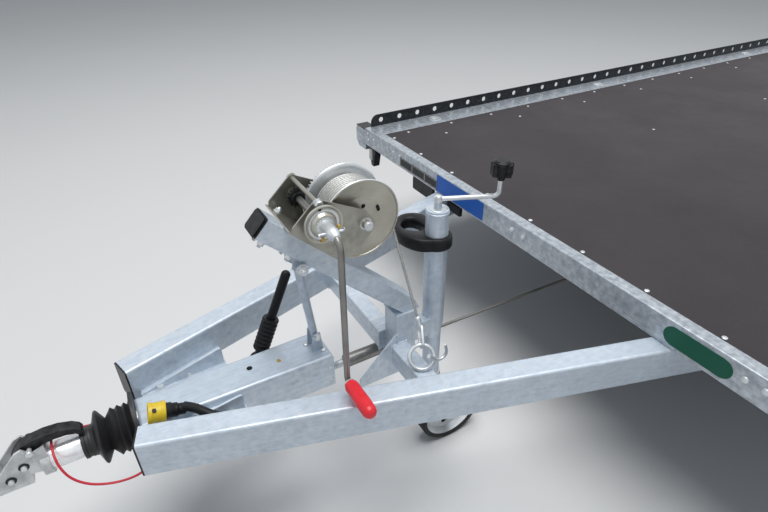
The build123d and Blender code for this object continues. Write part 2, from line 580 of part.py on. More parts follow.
for wheel_name, wheel_x, side in WHEEL_PLACES:
    hub_point = (wheel_x, side * TRACK_HALF, WHEEL_R)
    outward = (0, side, 0)
    drum_open = DRUM_INNER_Y - TRACK_HALF
    with BuildPart() as rim:
        turned(hub_point, outward, [
            (RIM_R, -RIM_HALF_WIDTH + RIM_SHEET), (RIM_FLANGE_R, -RIM_HALF_WIDTH + RIM_SHEET),
            (RIM_FLANGE_R, -RIM_HALF_WIDTH), (RIM_R - RIM_SHEET, -RIM_HALF_WIDTH),
            (RIM_R - RIM_SHEET, DISC_OUT - RIM_SHEET), (DRUM_R, DISC_OUT - RIM_SHEET - 8),
            (DRUM_R, drum_open), (DRUM_R - 8, drum_open), (DRUM_R - 8, DISC_OUT - 28),
            (STUB_BORE_R, DISC_OUT - 28), (STUB_BORE_R, DISC_OUT + 26), (32, DISC_OUT + 26),
            (34, DISC_OUT), (RIM_R - RIM_SHEET - 26, DISC_OUT + 4), (RIM_R - RIM_SHEET, DISC_OUT + 4),
            (RIM_R - RIM_SHEET, RIM_HALF_WIDTH), (RIM_FLANGE_R, RIM_HALF_WIDTH),
            (RIM_FLANGE_R, RIM_HALF_WIDTH - RIM_SHEET), (RIM_R, RIM_HALF_WIDTH - RIM_SHEET)])
        with BuildSketch(Plane(origin=hub_point, z_dir=outward)) as vents:
            with PolarLocations((DRUM_R + RIM_R) / 2 - 2, VENT_COUNT):
                Circle(VENT_R)
        extrude(to_extrude=vents.sketch, amount=RIM_HALF_WIDTH, mode=Mode.SUBTRACT)
    save(rim, f"{wheel_name}_rim")
    with BuildPart() as tyre:
        section = list(TYRE_SECTION) + [(r, -w) for r, w in reversed(TYRE_SECTION)]
        turned(hub_point, outward, section)
    save(tyre, f"{wheel_name}_tyre")

# Overrun housing: an inverted tray with a bored nose, bolted by wings to the drawbar beams
WING_REAR = BED_FRONT + 966.0
WING_FRONT = BED_FRONT + 1180.0
WING_TOP = DECK_HEIGHT - 155.0
WING_SHEET = 8.0
HOUSING_UNDER = HOUSING_TOP - HOUSING_DEPTH


def housing_half(x):
    """Half width of the housing, which tapers forward."""
    share = (x - HOUSING_REAR) / (HOUSING_FRONT - HOUSING_REAR)
    return HOUSING_HALF_REAR + (HOUSING_HALF_FRONT - HOUSING_HALF_REAR) * share


with BuildPart() as overrun_housing:
    slab_z([(HOUSING_REAR, HOUSING_HALF_REAR), (HOUSING_REAR, -HOUSING_HALF_REAR),
            (HOUSING_FRONT, -HOUSING_HALF_FRONT), (HOUSING_FRONT, HOUSING_HALF_FRONT)],
           HOUSING_UNDER, HOUSING_TOP)
    fillet(overrun_housing.faces().sort_by(Axis.Z)[-1].edges(), 8)
    slab_z([(HOUSING_REAR + HOUSING_WALL, HOUSING_HALF_REAR - HOUSING_WALL),
            (HOUSING_REAR + HOUSING_WALL, -HOUSING_HALF_REAR + HOUSING_WALL),
            (HOUSING_FRONT - HOUSING_NOSE, -HOUSING_HALF_FRONT + HOUSING_WALL),
            (HOUSING_FRONT - HOUSING_NOSE, HOUSING_HALF_FRONT - HOUSING_WALL)],
           HOUSING_UNDER - 1, HOUSING_TOP - HOUSING_WALL, Mode.SUBTRACT)
    rod((TOW_REAR - 1, 0, TOW_AXIS_Z), (HOUSING_FRONT + 1, 0, TOW_AXIS_Z), TOW_R + SEAT_GAP, Mode.SUBTRACT)
    block((HOUSING_REAR - 1, HOUSING_REAR + HOUSING_WALL + 1), (-24, 24),
          (HOUSING_UNDER - 1, HOUSING_UNDER + 26), Mode.SUBTRACT)
    for side in (1, -1):
        slab_z([(WING_REAR, side * (housing_half(WING_REAR) - 1)),
                (WING_FRONT, side * (housing_half(WING_FRONT) - 1)),
                (WING_FRONT, side * drawbar_inner_y(WING_FRONT)),
                (WING_REAR, side * drawbar_inner_y(WING_REAR))], WING_TOP - WING_SHEET, WING_TOP)
save(overrun_housing, "overrun_housing")

with BuildPart() as tow_tube:
    turned((TOW_REAR, 0, TOW_AXIS_Z), (1, 0, 0), [
        (TOW_R, 0), (TOW_R, TOW_FRONT - TOW_REAR), (TOW_R - TOW_WALL, TOW_FRONT - TOW_REAR),
        (TOW_R - TOW_WALL, 0)])
save(tow_tube, "tow_tube")

# Bellows round the tow tube: rear flange, shallow folds, one wide sharp fold and a front collar
BELLOWS_TABLE = (            # distance ahead of the housing, radius
    (0.0, 76.0), (7.0, 76.0), (10.0, 60.0), (14.0, 50.0), (21.0, 57.0), (28.0, 50.0), (36.0, 57.0),
    (43.0, 50.0), (51.0, 57.0), (58.0, 48.0), (66.0, 38.0), (80.0, 61.0), (83.0, 63.0), (86.0, 61.0),
    (95.0, 38.0), (101.0, 36.0), (106.0, 36.0), (107.0, 34.5), (114.0, 34.5), (115.0, 36.0),
    (122.0, 36.0))
with BuildPart() as bellows:
    reach = BELLOWS_TABLE[-1][0]
    turned((HOUSING_FRONT, 0, TOW_AXIS_Z), (1, 0, 0), [(TOW_R, 0.0)]
           + [(radius, along) for along, radius in BELLOWS_TABLE] + [(TOW_R, reach)])
save(bellows, "bellows")

# Coupling head: clamp on the tow tube, two cheeks for the handle, and a domed cup over the ball
NECK_PROFILE = (             # ahead of the bed, below the deck: side view, clockwise from the rear top
    (1386, -104), (1412, -112), (1426, -93), (1440, -98), (1484, -146), (1532, -150), (1532, -196),
    (1430, -196), (1428, -167), (1398, -175), (1386, -175))
DOME_R = BALL_R + BALL_WALL
CLAMP_R = TOW_R + CHEEK
TROUGH_REACH = 66.0          # open trough for the handle's toe, ahead of its pivot
with BuildPart() as coupling_head:
    slab_y([(BED_FRONT + ahead, DECK_HEIGHT + drop) for ahead, drop in NECK_PROFILE], -NECK_HALF, NECK_HALF)
    rod((HEAD_REAR, 0, TOW_AXIS_Z), (HEAD_REAR + 18, 0, TOW_AXIS_Z), CLAMP_R)
    rod((BALL_X, 0, BALL_Z - SOCKET_DEPTH), (BALL_X, 0, BALL_Z), DOME_R)
    with Locations((BALL_X, 0, BALL_Z)):
        Sphere(DOME_R)
    rod((BALL_X, 0, BALL_Z - SOCKET_DEPTH), (BALL_X, 0, BALL_Z - SOCKET_DEPTH + 5), DOME_R + 6)
    slab_z([(BALL_X, 14), (HEAD_FRONT, 9), (HEAD_FRONT, -9), (BALL_X, -14)],
           BALL_Z - SOCKET_DEPTH, BALL_Z - 6)
    rod((HEAD_REAR - 1, 0, TOW_AXIS_Z), (TOW_FRONT + SEAT_GAP, 0, TOW_AXIS_Z), TOW_R, Mode.SUBTRACT)
    block((HEAD_REAR - 1, HANDLE_PIVOT[0] + TROUGH_REACH), (CHEEK - NECK_HALF, NECK_HALF - CHEEK),
          (DECK_HEIGHT - 124, DECK_HEIGHT), Mode.SUBTRACT)
    block((HEAD_REAR + 16, HANDLE_PIVOT[0] + TROUGH_REACH), (CHEEK - NECK_HALF, NECK_HALF - CHEEK),
          (DECK_HEIGHT - 160, DECK_HEIGHT), Mode.SUBTRACT)
    block((BALL_X - 50, BALL_X + 50), (-50, 50), (BALL_Z - 60, BALL_Z - SOCKET_DEPTH), Mode.SUBTRACT)
    rod((BALL_X, 0, BALL_Z - SOCKET_DEPTH - 1), (BALL_X, 0, BALL_Z), BALL_R + SEAT_GAP, Mode.SUBTRACT)
    with Locations((BALL_X, 0, BALL_Z)):
        Sphere(BALL_R + SEAT_GAP, mode=Mode.SUBTRACT)
    rod((HANDLE_PIVOT[0], -NECK_HALF - 4, HANDLE_PIVOT[1]), (HANDLE_PIVOT[0], NECK_HALF + 4, HANDLE_PIVOT[1]),
        HANDLE_PIN_R)
    for ahead, drop in ((1434, -140), (1466, -165)):
        for side in (1, -1):
            rod((BED_FRONT + ahead, side * (NECK_HALF - 1), DECK_HEIGHT + drop),
                (BED_FRONT + ahead, side * (NECK_HALF + 7), DECK_HEIGHT + drop), 6)
save(coupling_head, "coupling_head")

# Coupling handle: a curved pressed channel over the tow tube, lifted to let go of the ball
HANDLE_TOP = (               # ahead of the bed, below the deck: toe to tail
    (1453, -124), (1441, -107), (1428, -95), (1409, -89), (1380, -85), (1352, -87), (1326, -96),
    (1313, -107), (1309, -117))
HANDLE_UNDERSIDE = (         # tail to toe
    (1318, -119), (1324, -112), (1342, -106), (1367, -105), (1390, -107), (1402, -118),
    (1426, -119), (1442, -130))
with BuildPart() as coupling_handle:
    slab_y([(BED_FRONT + ahead, DECK_HEIGHT + drop) for ahead, drop in HANDLE_TOP + HANDLE_UNDERSIDE],
           -HANDLE_HALF, HANDLE_HALF)
    slab_y([(BED_FRONT + ahead, DECK_HEIGHT + drop) for ahead, drop in (
        (1330, -120), (1330, -102), (1354, -91), (1380, -89), (1386, -90), (1386, -120))],
           HANDLE_WALL - HANDLE_HALF, HANDLE_HALF - HANDLE_WALL, Mode.SUBTRACT)
    rod((HANDLE_PIVOT[0], -HANDLE_HALF, HANDLE_PIVOT[1]), (HANDLE_PIVOT[0], HANDLE_HALF, HANDLE_PIVOT[1]),
        HANDLE_HUB_R)
    rod((HANDLE_PIVOT[0], -HANDLE_HALF - 1, HANDLE_PIVOT[1]),
        (HANDLE_PIVOT[0], HANDLE_HALF + 1, HANDLE_PIVOT[1]), HANDLE_PIN_R + PIN_GAP, Mode.SUBTRACT)
save(coupling_handle, "coupling_handle")

# Winch post: a square tube, its flared gusset plate, and the saddle that carries the leg
POST_LOW_Y = WINCH_Y - ARM_WIDTH / 2
POST_HIGH_Y = WINCH_Y + ARM_WIDTH / 2
GUSSET_Y = POST_HIGH_Y + GUSSET_SHEET
SADDLE_TOP = DECK_HEIGHT - 96.0
SADDLE_UNDER = DECK_HEIGHT - 150.0
with BuildPart() as winch_post:
    block((POST_REAR, POST_FRONT), (POST_LOW_Y, POST_HIGH_Y), (POST_FOOT, POST_TOP))
    fillet(winch_post.edges().filter_by(Axis.Z), POST_WALL)
    block((POST_REAR + POST_WALL, POST_FRONT - POST_WALL), (POST_LOW_Y + POST_WALL, POST_HIGH_Y - POST_WALL),
          (POST_FOOT - 1, POST_TOP + 1), Mode.SUBTRACT)
    slab_y([(POST_REAR + POST_WALL, POST_FOOT), (POST_REAR + POST_WALL, POST_TOP), (POST_FRONT, POST_TOP),
            (POST_FRONT, GUSSET_TOP), (POST_FRONT + GUSSET_REACH, GUSSET_TOP - GUSSET_REACH),
            (POST_FRONT + GUSSET_REACH, POST_FOOT)], POST_HIGH_Y, GUSSET_Y)
    block((JOCKEY_X, POST_REAR), (WINCH_Y - 18, WINCH_Y + 18), (SADDLE_UNDER, SADDLE_TOP))
    rod((JOCKEY_X, JOCKEY_Y, SADDLE_UNDER - 1), (JOCKEY_X, JOCKEY_Y, SADDLE_TOP + 1), LEG_R, Mode.SUBTRACT)
save(winch_post, "winch_post")

# Drawbar cross member: a square tube in two lengths, from the post to the beams' inner faces
with BuildPart() as drawbar_cross_member:
    for side, seat in ((-1, POST_LOW_Y), (1, GUSSET_Y)):
        slab_z([(MEMBER_REAR, seat), (MEMBER_REAR, side * drawbar_inner_y(MEMBER_REAR)),
                (MEMBER_FRONT, side * drawbar_inner_y(MEMBER_FRONT)), (MEMBER_FRONT, seat)],
               CHASSIS_UNDER, MEMBER_TOP)
    fillet(drawbar_cross_member.edges().filter_by(Axis.Y), MEMBER_CORNER_R)
save(drawbar_cross_member, "drawbar_cross_member")

# Winch arm: a rectangular tube leaning forward over the drawbar, cut level on the post
with BuildPart() as winch_arm:
    heel_along = (POST_TOP - arm_point(0, -ARM_DEPTH)[1]) / ARM_DIR[1]
    slab_y([arm_point(0, 0), arm_point(0, -ARM_DEPTH), arm_point(heel_along, -ARM_DEPTH),
            (POST_REAR - ARM_HEEL_BACK, POST_TOP), arm_point(-ARM_LENGTH, 0)], ARM_LOW_Y, ARM_HIGH_Y)
    fillet(winch_arm.edges().filter_by(Axis((0, 0, 0), (ARM_DIR[0], 0, ARM_DIR[1]))), ARM_CORNER_R)
save(winch_arm, "winch_arm")

# Strut from the housing's rear top up to the arm, with its two clevises
STRUT_EYE = arm_point(-STRUT_BACK, -ARM_DEPTH - STRUT_EYE_DROP)
STRUT_TOP = (STRUT_EYE[0], WINCH_Y, STRUT_EYE[1])
STRUT_FOOT = (HOUSING_REAR + STRUT_FOOT_SET, 0.0, HOUSING_TOP + STRUT_FOOT_RISE)
STRUT_R = 10.0
CLEVIS_SHEET = 4.0
with BuildPart() as winch_strut:
    rod(STRUT_FOOT, STRUT_TOP, STRUT_R)
    rod((STRUT_TOP[0], ARM_LOW_Y - 8, STRUT_TOP[2]), (STRUT_TOP[0], ARM_HIGH_Y + 8, STRUT_TOP[2]), 8)
    rod((STRUT_FOOT[0], -22, STRUT_FOOT[2]), (STRUT_FOOT[0], 22, STRUT_FOOT[2]), 7)
    for y in (-14 - CLEVIS_SHEET, 14):
        slab_y([(STRUT_FOOT[0] - 16, HOUSING_TOP), (STRUT_FOOT[0] - 11, STRUT_FOOT[2] + 10),
                (STRUT_FOOT[0] + 11, STRUT_FOOT[2] + 10), (STRUT_FOOT[0] + 16, HOUSING_TOP)],
               y, y + CLEVIS_SHEET)
    for y in (ARM_LOW_Y + ARM_CORNER_R, ARM_HIGH_Y - ARM_CORNER_R - CLEVIS_SHEET):
        slab_y([arm_point(-STRUT_BACK + 26, -ARM_DEPTH), arm_point(-STRUT_BACK + 13, -ARM_DEPTH - 24),
                arm_point(-STRUT_BACK - 13, -ARM_DEPTH - 24), arm_point(-STRUT_BACK - 26, -ARM_DEPTH)],
               y, y + CLEVIS_SHEET)
save(winch_strut, "winch_strut")

# Winch frame: base on the arm, two side plates with rounded corners, and the tie rod between them
WINCH_BASE_REAR = -190.0
WINCH_BASE_FRONT = -40.0
PLATE_CORNER_R = 9.0
PLATE_OUTLINE = (            # ahead of the bed, above the deck
    (815, 322), (759, 374), (648, 318), (626, 286), (630, 269), (682, 216), (719, 216))
TIE_ROD = (BED_FRONT + 756.0, DECK_HEIGHT + 364.0)
TIE_ROD_R = 5.0
BUSH_R = 15.5
with BuildPart() as winch_frame:
    slab_y([arm_point(WINCH_BASE_FRONT, 0), arm_point(WINCH_BASE_FRONT, PLATE_SHEET),
            arm_point(WINCH_BASE_REAR, PLATE_SHEET), arm_point(WINCH_BASE_REAR, 0)],
           PLATE_FAR_Y, PLATE_NEAR_Y + PLATE_SHEET)
    plate_points = [arm_point(WINCH_BASE_FRONT - 10, 0)] + [
        (BED_FRONT + ahead, DECK_HEIGHT + rise) for ahead, rise in PLATE_OUTLINE]
    for low in (PLATE_FAR_Y, PLATE_NEAR_Y):
        with BuildSketch(side_plane(low + PLATE_SHEET)) as plate:
            with BuildLine():
                Polyline(*plate_points, close=True)
            make_face()
            fillet(plate.vertices(), PLATE_CORNER_R)
        extrude(to_extrude=plate.sketch, amount=PLATE_SHEET)
    rod((TIE_ROD[0], PLATE_FAR_Y - 5, TIE_ROD[1]), (TIE_ROD[0], PLATE_NEAR_Y + PLATE_SHEET + 8, TIE_ROD[1]),
        TIE_ROD_R)
    rod((CRANK_AXIS[0], PLATE_FAR_Y - 10, CRANK_AXIS[1]), (CRANK_AXIS[0], PLATE_FAR_Y + PLATE_SHEET + 4,
        CRANK_AXIS[1]), BUSH_R)
    for centre, radius in ((DRUM_AXIS, HUB_R / 2), (CRANK_AXIS, SHAFT_R)):
        rod((centre[0], PLATE_FAR_Y - 12, centre[1]), (centre[0], PLATE_NEAR_Y + PLATE_SHEET + 1, centre[1]),
            radius + SEAT_GAP, Mode.SUBTRACT)
save(winch_frame, "winch_frame")

# Involute gear pair of the winch: the crank's pinion turns the drum's gear
GEAR_PRESSURE = radians(20.0)
AXES_RUN = (CRANK_AXIS[0] - DRUM_AXIS[0], CRANK_AXIS[1] - DRUM_AXIS[1])
GEAR_MODULE = 2 * hypot(*AXES_RUN) / (GEAR_TEETH + PINION_TEETH)
MESH_ANGLE = atan2(AXES_RUN[1], AXES_RUN[0])
TOOTH_SLACK = 0.12           # taken off each flank at the pitch circle
ROOT_DEPTH = 1.25            # dedendum, in modules


def involute(angle):
    return tan(angle) - angle


def gear_outline(centre, teeth, first_tooth):
    """Side-view outline of a gear with one tooth centred on the given angle."""
    pitch_r = GEAR_MODULE * teeth / 2
    base_r = pitch_r * cos(GEAR_PRESSURE)
    root_r = pitch_r - ROOT_DEPTH * GEAR_MODULE
    flank_start = base_r if base_r > root_r else (root_r + pitch_r) / 2
    flank = (root_r, flank_start, pitch_r, pitch_r + GEAR_MODULE / 2, pitch_r + GEAR_MODULE)
    points = []
    for tooth in range(teeth):
        middle = first_tooth + 2 * pi * tooth / teeth
        rising = []
        for radius in flank:
            pressure = acos(min(base_r / radius, 1.0))
            half = pi / 2 / teeth + involute(GEAR_PRESSURE) - involute(pressure) - TOOTH_SLACK / pitch_r
            rising.append((radius, half))
        for radius, half in rising:
            points.append((centre[0] + radius * cos(middle - half), centre[1] + radius * sin(middle - half)))
        for radius, half in reversed(rising):
            points.append((centre[0] + radius * cos(middle + half), centre[1] + radius * sin(middle + half)))
    return points


# Drum with its two dished flanges and the big gear, and the rope wound on it
DRUM_END = PLATE_NEAR_Y + PLATE_SHEET + 18.0
FLANGE_FLAT_R = 50.0         # flat part of each flange
with BuildPart() as winch_drum:
    turned((DRUM_AXIS[0], 0, DRUM_AXIS[1]), (0, 1, 0), [
        (0, PLATE_FAR_Y - 6), (HUB_R / 2, PLATE_FAR_Y - 6), (HUB_R / 2, GEAR_Y), (HUB_R, GEAR_Y),
        (HUB_R, FLANGE_FAR_Y + FLANGE_DISH),
        (FLANGE_FLAT_R, FLANGE_FAR_Y + FLANGE_DISH), (FLANGE_R - 8, FLANGE_FAR_Y),
        (FLANGE_R - 4, FLANGE_FAR_Y), (FLANGE_R - 4, FLANGE_FAR_Y + FLANGE_SHEET),
        (FLANGE_R - 7, FLANGE_FAR_Y + FLANGE_SHEET),
        (FLANGE_FLAT_R + 1, FLANGE_FAR_Y + FLANGE_DISH + FLANGE_SHEET),
        (HUB_R, FLANGE_FAR_Y + FLANGE_DISH + FLANGE_SHEET), (HUB_R, FLANGE_NEAR_Y - FLANGE_DISH),
        (FLANGE_FLAT_R + 1, FLANGE_NEAR_Y - FLANGE_DISH), (FLANGE_R - 3, FLANGE_NEAR_Y),
        (FLANGE_R, FLANGE_NEAR_Y), (FLANGE_R, FLANGE_NEAR_Y + FLANGE_SHEET + 2),
        (FLANGE_R - 3, FLANGE_NEAR_Y + FLANGE_SHEET + 2), (FLANGE_R - 4, FLANGE_NEAR_Y + FLANGE_SHEET),
        (FLANGE_FLAT_R, FLANGE_NEAR_Y + FLANGE_SHEET - FLANGE_DISH),
        (HUB_R / 2, FLANGE_NEAR_Y + FLANGE_SHEET - FLANGE_DISH), (HUB_R / 2, DRUM_END), (0, DRUM_END)])
    slab_y(gear_outline(DRUM_AXIS, GEAR_TEETH, MESH_ANGLE + pi / GEAR_TEETH), GEAR_Y,
           GEAR_Y + GEAR_THICKNESS)
save(winch_drum, "winch_drum")

WINDING_LOW = FLANGE_FAR_Y + FLANGE_DISH + FLANGE_SHEET + SEAT_GAP
WINDING_HIGH = FLANGE_NEAR_Y - FLANGE_DISH - SEAT_GAP
with BuildPart() as rope_winding:
    turned((DRUM_AXIS[0], 0, DRUM_AXIS[1]), (0, 1, 0), [
        (HUB_R, WINDING_LOW), (WINDING_R, WINDING_LOW), (WINDING_R, WINDING_HIGH), (HUB_R, WINDING_HIGH)])
save(rope_winding, "rope_winding")

# Crank: shaft through both plates with its pinion, dished brake disc, hub and hanging rod
BRAKE_Y = 158.0              # inner face of the disc's rim
BRAKE_R = 42.0
GRIP_LEAN = 4.0              # grip ahead of the crank's axis
GRIP_SET = 14.0              # grip's inner end, beyond the crank's plane
CRANK_HUB_R = 14.0
CRANK_BEND = 28.0
GRIP_BEND = 13.0
CRANK_HUB_END = CRANK_Y - CRANK_BEND - 3
with BuildPart() as winch_crank:
    turned((CRANK_AXIS[0], 0, CRANK_AXIS[1]), (0, 1, 0), [
        (0, PLATE_FAR_Y - 14), (SHAFT_R, PLATE_FAR_Y - 14), (SHAFT_R, PLATE_NEAR_Y + PLATE_SHEET + 1),
        (24, PLATE_NEAR_Y + PLATE_SHEET + 1), (24, BRAKE_Y - 5), (BRAKE_R - 3, BRAKE_Y - 5),
        (BRAKE_R - 3, BRAKE_Y), (BRAKE_R, BRAKE_Y), (BRAKE_R, BRAKE_Y + 5), (BRAKE_R - 3, BRAKE_Y + 5),
        (BRAKE_R - 6, BRAKE_Y + 2), (28, BRAKE_Y + 2), (23, BRAKE_Y + 9), (CRANK_HUB_R, BRAKE_Y + 11),
        (CRANK_HUB_R, CRANK_HUB_END), (0, CRANK_HUB_END)])
    slab_y(gear_outline(CRANK_AXIS, PINION_TEETH, MESH_ANGLE + pi), GEAR_Y - 2, GEAR_Y + GEAR_THICKNESS + 2)
    grip_x = CRANK_AXIS[0] + GRIP_LEAN
    grip_z = CRANK_AXIS[1] - CRANK_LENGTH
    bent_rod([(CRANK_AXIS[0], CRANK_HUB_END - CRANK_BEND, CRANK_AXIS[1]), (CRANK_AXIS[0], CRANK_Y, CRANK_AXIS[1]),
              (grip_x, CRANK_Y, grip_z), (grip_x, CRANK_Y + GRIP_LENGTH + GRIP_SET - GRIP_R, grip_z)],
             [CRANK_BEND, GRIP_BEND], CRANK_ROD_R)
save(winch_crank, "winch_crank")

GRIP_PROFILE = (             # radius, share of the grip's length
    (GRIP_R - 3.0, 0.0), (GRIP_R - 3.0, 0.04), (GRIP_R - 1.0, 0.05), (GRIP_R, 0.1), (GRIP_R, 0.35),
    (GRIP_R + 0.8, 0.6), (GRIP_R, 0.86), (GRIP_R - 2.5, 0.93), (GRIP_R - 7.0, 0.98), (0.0, 1.0))
with BuildPart() as crank_grip:
    bore_end = GRIP_LENGTH - GRIP_R + SEAT_GAP
    turned((CRANK_AXIS[0] + GRIP_LEAN, CRANK_Y + GRIP_SET, CRANK_AXIS[1] - CRANK_LENGTH), (0, 1, 0),
           [(radius, share * GRIP_LENGTH) for radius, share in GRIP_PROFILE]
           + [(0.0, bore_end), (CRANK_ROD_R + SEAT_GAP, bore_end), (CRANK_ROD_R + SEAT_GAP, 0.0)])
save(crank_grip, "crank_grip")

# Handbrake lever on the housing's side
LEVER_DIR = (-sin(radians(LEVER_LEAN)), cos(radians(LEVER_LEAN)))
SLEEVE_START = 35.0          # ribbed sleeve, along the lever
SLEEVE_RIBS = 8
SLEEVE_PITCH = 12.5


def lever_point(along):
    return (LEVER_PIVOT[0] + LEVER_DIR[0] * along, LEVER_Y, LEVER_PIVOT[1] + LEVER_DIR[1] * along)


with BuildPart() as handbrake_lever:
    rod(lever_point(0), lever_point(LEVER_LENGTH - LEVER_R), LEVER_R)
    with Locations(lever_point(LEVER_LENGTH - LEVER_R)):
        Sphere(LEVER_R)
    sleeve = [(0.0, 0.0)]
    for rib in range(SLEEVE_RIBS):
        sleeve += [(SLEEVE_R - 2, rib * SLEEVE_PITCH), (SLEEVE_R, (rib + 0.3) * SLEEVE_PITCH),
                   (SLEEVE_R, (rib + 0.6) * SLEEVE_PITCH), (SLEEVE_R - 2, (rib + 0.9) * SLEEVE_PITCH)]
    turned(lever_point(SLEEVE_START), (LEVER_DIR[0], 0, LEVER_DIR[1]),
           sleeve + [(0.0, (SLEEVE_RIBS - 0.1) * SLEEVE_PITCH)])
    rod((LEVER_PIVOT[0], LEVER_Y - 12, LEVER_PIVOT[1]),
        (LEVER_PIVOT[0], -housing_half(LEVER_PIVOT[0] - 18) - SEAT_GAP, LEVER_PIVOT[1]), 18)
save(handbrake_lever, "handbrake_lever")

# Brake rod with the spring cylinder of the handbrake, under the centre line
SPRING_R = 19.0
SPRING_REAR = BED_FRONT + 529.0
SPRING_FRONT = BED_FRONT + 660.0
SPRING_Z = DECK_HEIGHT - 229.0
BRAKE_ROD_REAR = (BOGIE_X + AXLE_SPREAD / 2 + ARM_BACK + AXLE_TUBE / 2, 0, BRAKE_ROD_REAR_Z)
LINK_FRONT = HOUSING_REAR + 2.0
with BuildPart() as brake_rod:
    rod(BRAKE_ROD_REAR, (SPRING_REAR + 12, 0, SPRING_Z - 6), BRAKE_ROD_R)
    rod((SPRING_REAR, 0, SPRING_Z), (SPRING_FRONT, 0, SPRING_Z), SPRING_R)
    rod((SPRING_FRONT - 10, 0, SPRING_Z), (LINK_FRONT, 0, SPRING_Z), BRAKE_ROD_R)
    block((HOUSING_REAR - 6, HOUSING_REAR), (-30, 30), (SPRING_Z - 8, SPRING_Z + 24))
save(brake_rod, "brake_rod")

# Jockey leg: outer tube with its cap, held in the post's clamp
with BuildPart() as jockey_tube:
    turned((JOCKEY_X, JOCKEY_Y, LEG_UNDER), (0, 0, 1), [
        (LEG_R, 0), (LEG_R, LEG_TOP - LEG_UNDER - 5), (LEG_R - 1.5, LEG_TOP - LEG_UNDER - 4),
        (LEG_R - 1.5, LEG_TOP - LEG_UNDER), (10, LEG_TOP - LEG_UNDER), (10, LEG_TOP - LEG_UNDER + 20),
        (0, LEG_TOP - LEG_UNDER + 20), (0, LEG_TOP - LEG_UNDER - 12),
        (LEG_R - LEG_WALL, LEG_TOP - LEG_UNDER - 12), (LEG_R - LEG_WALL, 0)])
    slab_y([(JOCKEY_X - LEG_R - 1, LEG_UNDER - 1), (JOCKEY_X - LEG_R - 1, LEG_UNDER + 56),
            (JOCKEY_X - LEG_R + 16, LEG_UNDER + 40), (JOCKEY_X - LEG_R + 30, LEG_UNDER - 1)],
           JOCKEY_Y, JOCKEY_Y + LEG_R + 1, Mode.SUBTRACT)
save(jockey_tube, "jockey_tube")

# Carrying handle: a moulded loop, with a thick collar round the leg and a gap for the hand
HANDLE_UNDER = DECK_HEIGHT + 127.0
HANDLE_RISE = 35.0
HAND_LOOP = (                # ahead of the bed, left of the centre line: outer plan outline
    (400, 109), (440, 107), (478, 84), (496, 40), (494, 0), (474, -38), (440, -59), (404, -46),
    (388, -18), (381, 40), (382, 84))
HAND_GAP = ((446, 40), (470, 12), (468, -10), (447, -28), (428, -22), (420, 6), (422, 34))
HAND_ROUND = 12.0
with BuildPart() as jockey_handle:
    for outline, radius, mode in ((HAND_LOOP, HAND_ROUND, Mode.ADD), (HAND_GAP, HAND_ROUND / 2, Mode.SUBTRACT)):
        with BuildSketch(Plane.XY.offset(HANDLE_UNDER)) as loop_face:
            with BuildLine():
                Polyline(*[(BED_FRONT + ahead, y) for ahead, y in outline], close=True)
            make_face()
            fillet(loop_face.vertices(), radius)
        extrude(to_extrude=loop_face.sketch, amount=HANDLE_RISE, mode=mode)
    fillet(jockey_handle.faces().sort_by(Axis.Z)[-1].edges(), 5)
    rod((JOCKEY_X, JOCKEY_Y, HANDLE_UNDER - 1), (JOCKEY_X, JOCKEY_Y, HANDLE_UNDER + HANDLE_RISE + 1), LEG_R,
        Mode.SUBTRACT)
save(jockey_handle, "jockey_handle")

# Jockey crank: arm on the cap, upright pin and star knob
JOCKEY_CRANK_END = (BED_FRONT + 279.0, 139.0)
JOCKEY_CRANK_Z = DECK_HEIGHT + 251.0
with BuildPart() as jockey_crank:
    rod((JOCKEY_X, JOCKEY_Y, JOCKEY_CRANK_Z), (JOCKEY_X, JOCKEY_Y, JOCKEY_CRANK_Z + 14), 10)
    bent_rod([(JOCKEY_X, JOCKEY_Y, JOCKEY_CRANK_Z + 7), (*JOCKEY_CRANK_END, JOCKEY_CRANK_Z + 7),
              (*JOCKEY_CRANK_END, JOCKEY_CRANK_Z + 50)], [15.0], 6)
save(jockey_crank, "jockey_crank")

KNOB_R = 28.0
KNOB_LOBES = 7
KNOB_LOBE_R = 9.0
KNOB_NECK = 14.0
KNOB_RISE = 37.0
with BuildPart() as jockey_knob:
    turned((*JOCKEY_CRANK_END, JOCKEY_CRANK_Z + 50), (0, 0, 1), [
        (0, 0), (9, 0), (14, KNOB_NECK), (KNOB_R - 6, KNOB_NECK), (KNOB_R - 6, KNOB_NECK + KNOB_RISE - 4),
        (KNOB_R - 12, KNOB_NECK + KNOB_RISE), (0, KNOB_NECK + KNOB_RISE)])
    with BuildSketch(Plane.XY.offset(JOCKEY_CRANK_Z + 50 + KNOB_NECK)) as lobes:
        with Locations(JOCKEY_CRANK_END):
            with PolarLocations(KNOB_R - KNOB_LOBE_R, KNOB_LOBES):
                Circle(KNOB_LOBE_R)
    extrude(to_extrude=lobes.sketch, amount=KNOB_RISE - 6)
save(jockey_knob, "jockey_knob")

# Inner stem, swivelling fork and wheel of the jockey leg
FORK_CROWN_Z = 2 * JOCKEY_WHEEL_R + 14.0
FORK_NECK = LEG_UNDER - STEM_TRAVEL - 6.0 - FORK_CROWN_Z     # its shoulder stops the stem's travel
STEM_TOP = LEG_TOP - STEM_TRAVEL - 30.0
with BuildPart() as jockey_stem:
    rod((JOCKEY_X, JOCKEY_Y, FORK_CROWN_Z + FORK_NECK + SEAT_GAP), (JOCKEY_X, JOCKEY_Y, STEM_TOP), STEM_R)
    rod((JOCKEY_X, JOCKEY_Y, STEM_TOP - 60), (JOCKEY_X, JOCKEY_Y, STEM_TOP), LEG_R - LEG_WALL - SEAT_GAP)
save(jockey_stem, "jockey_stem")

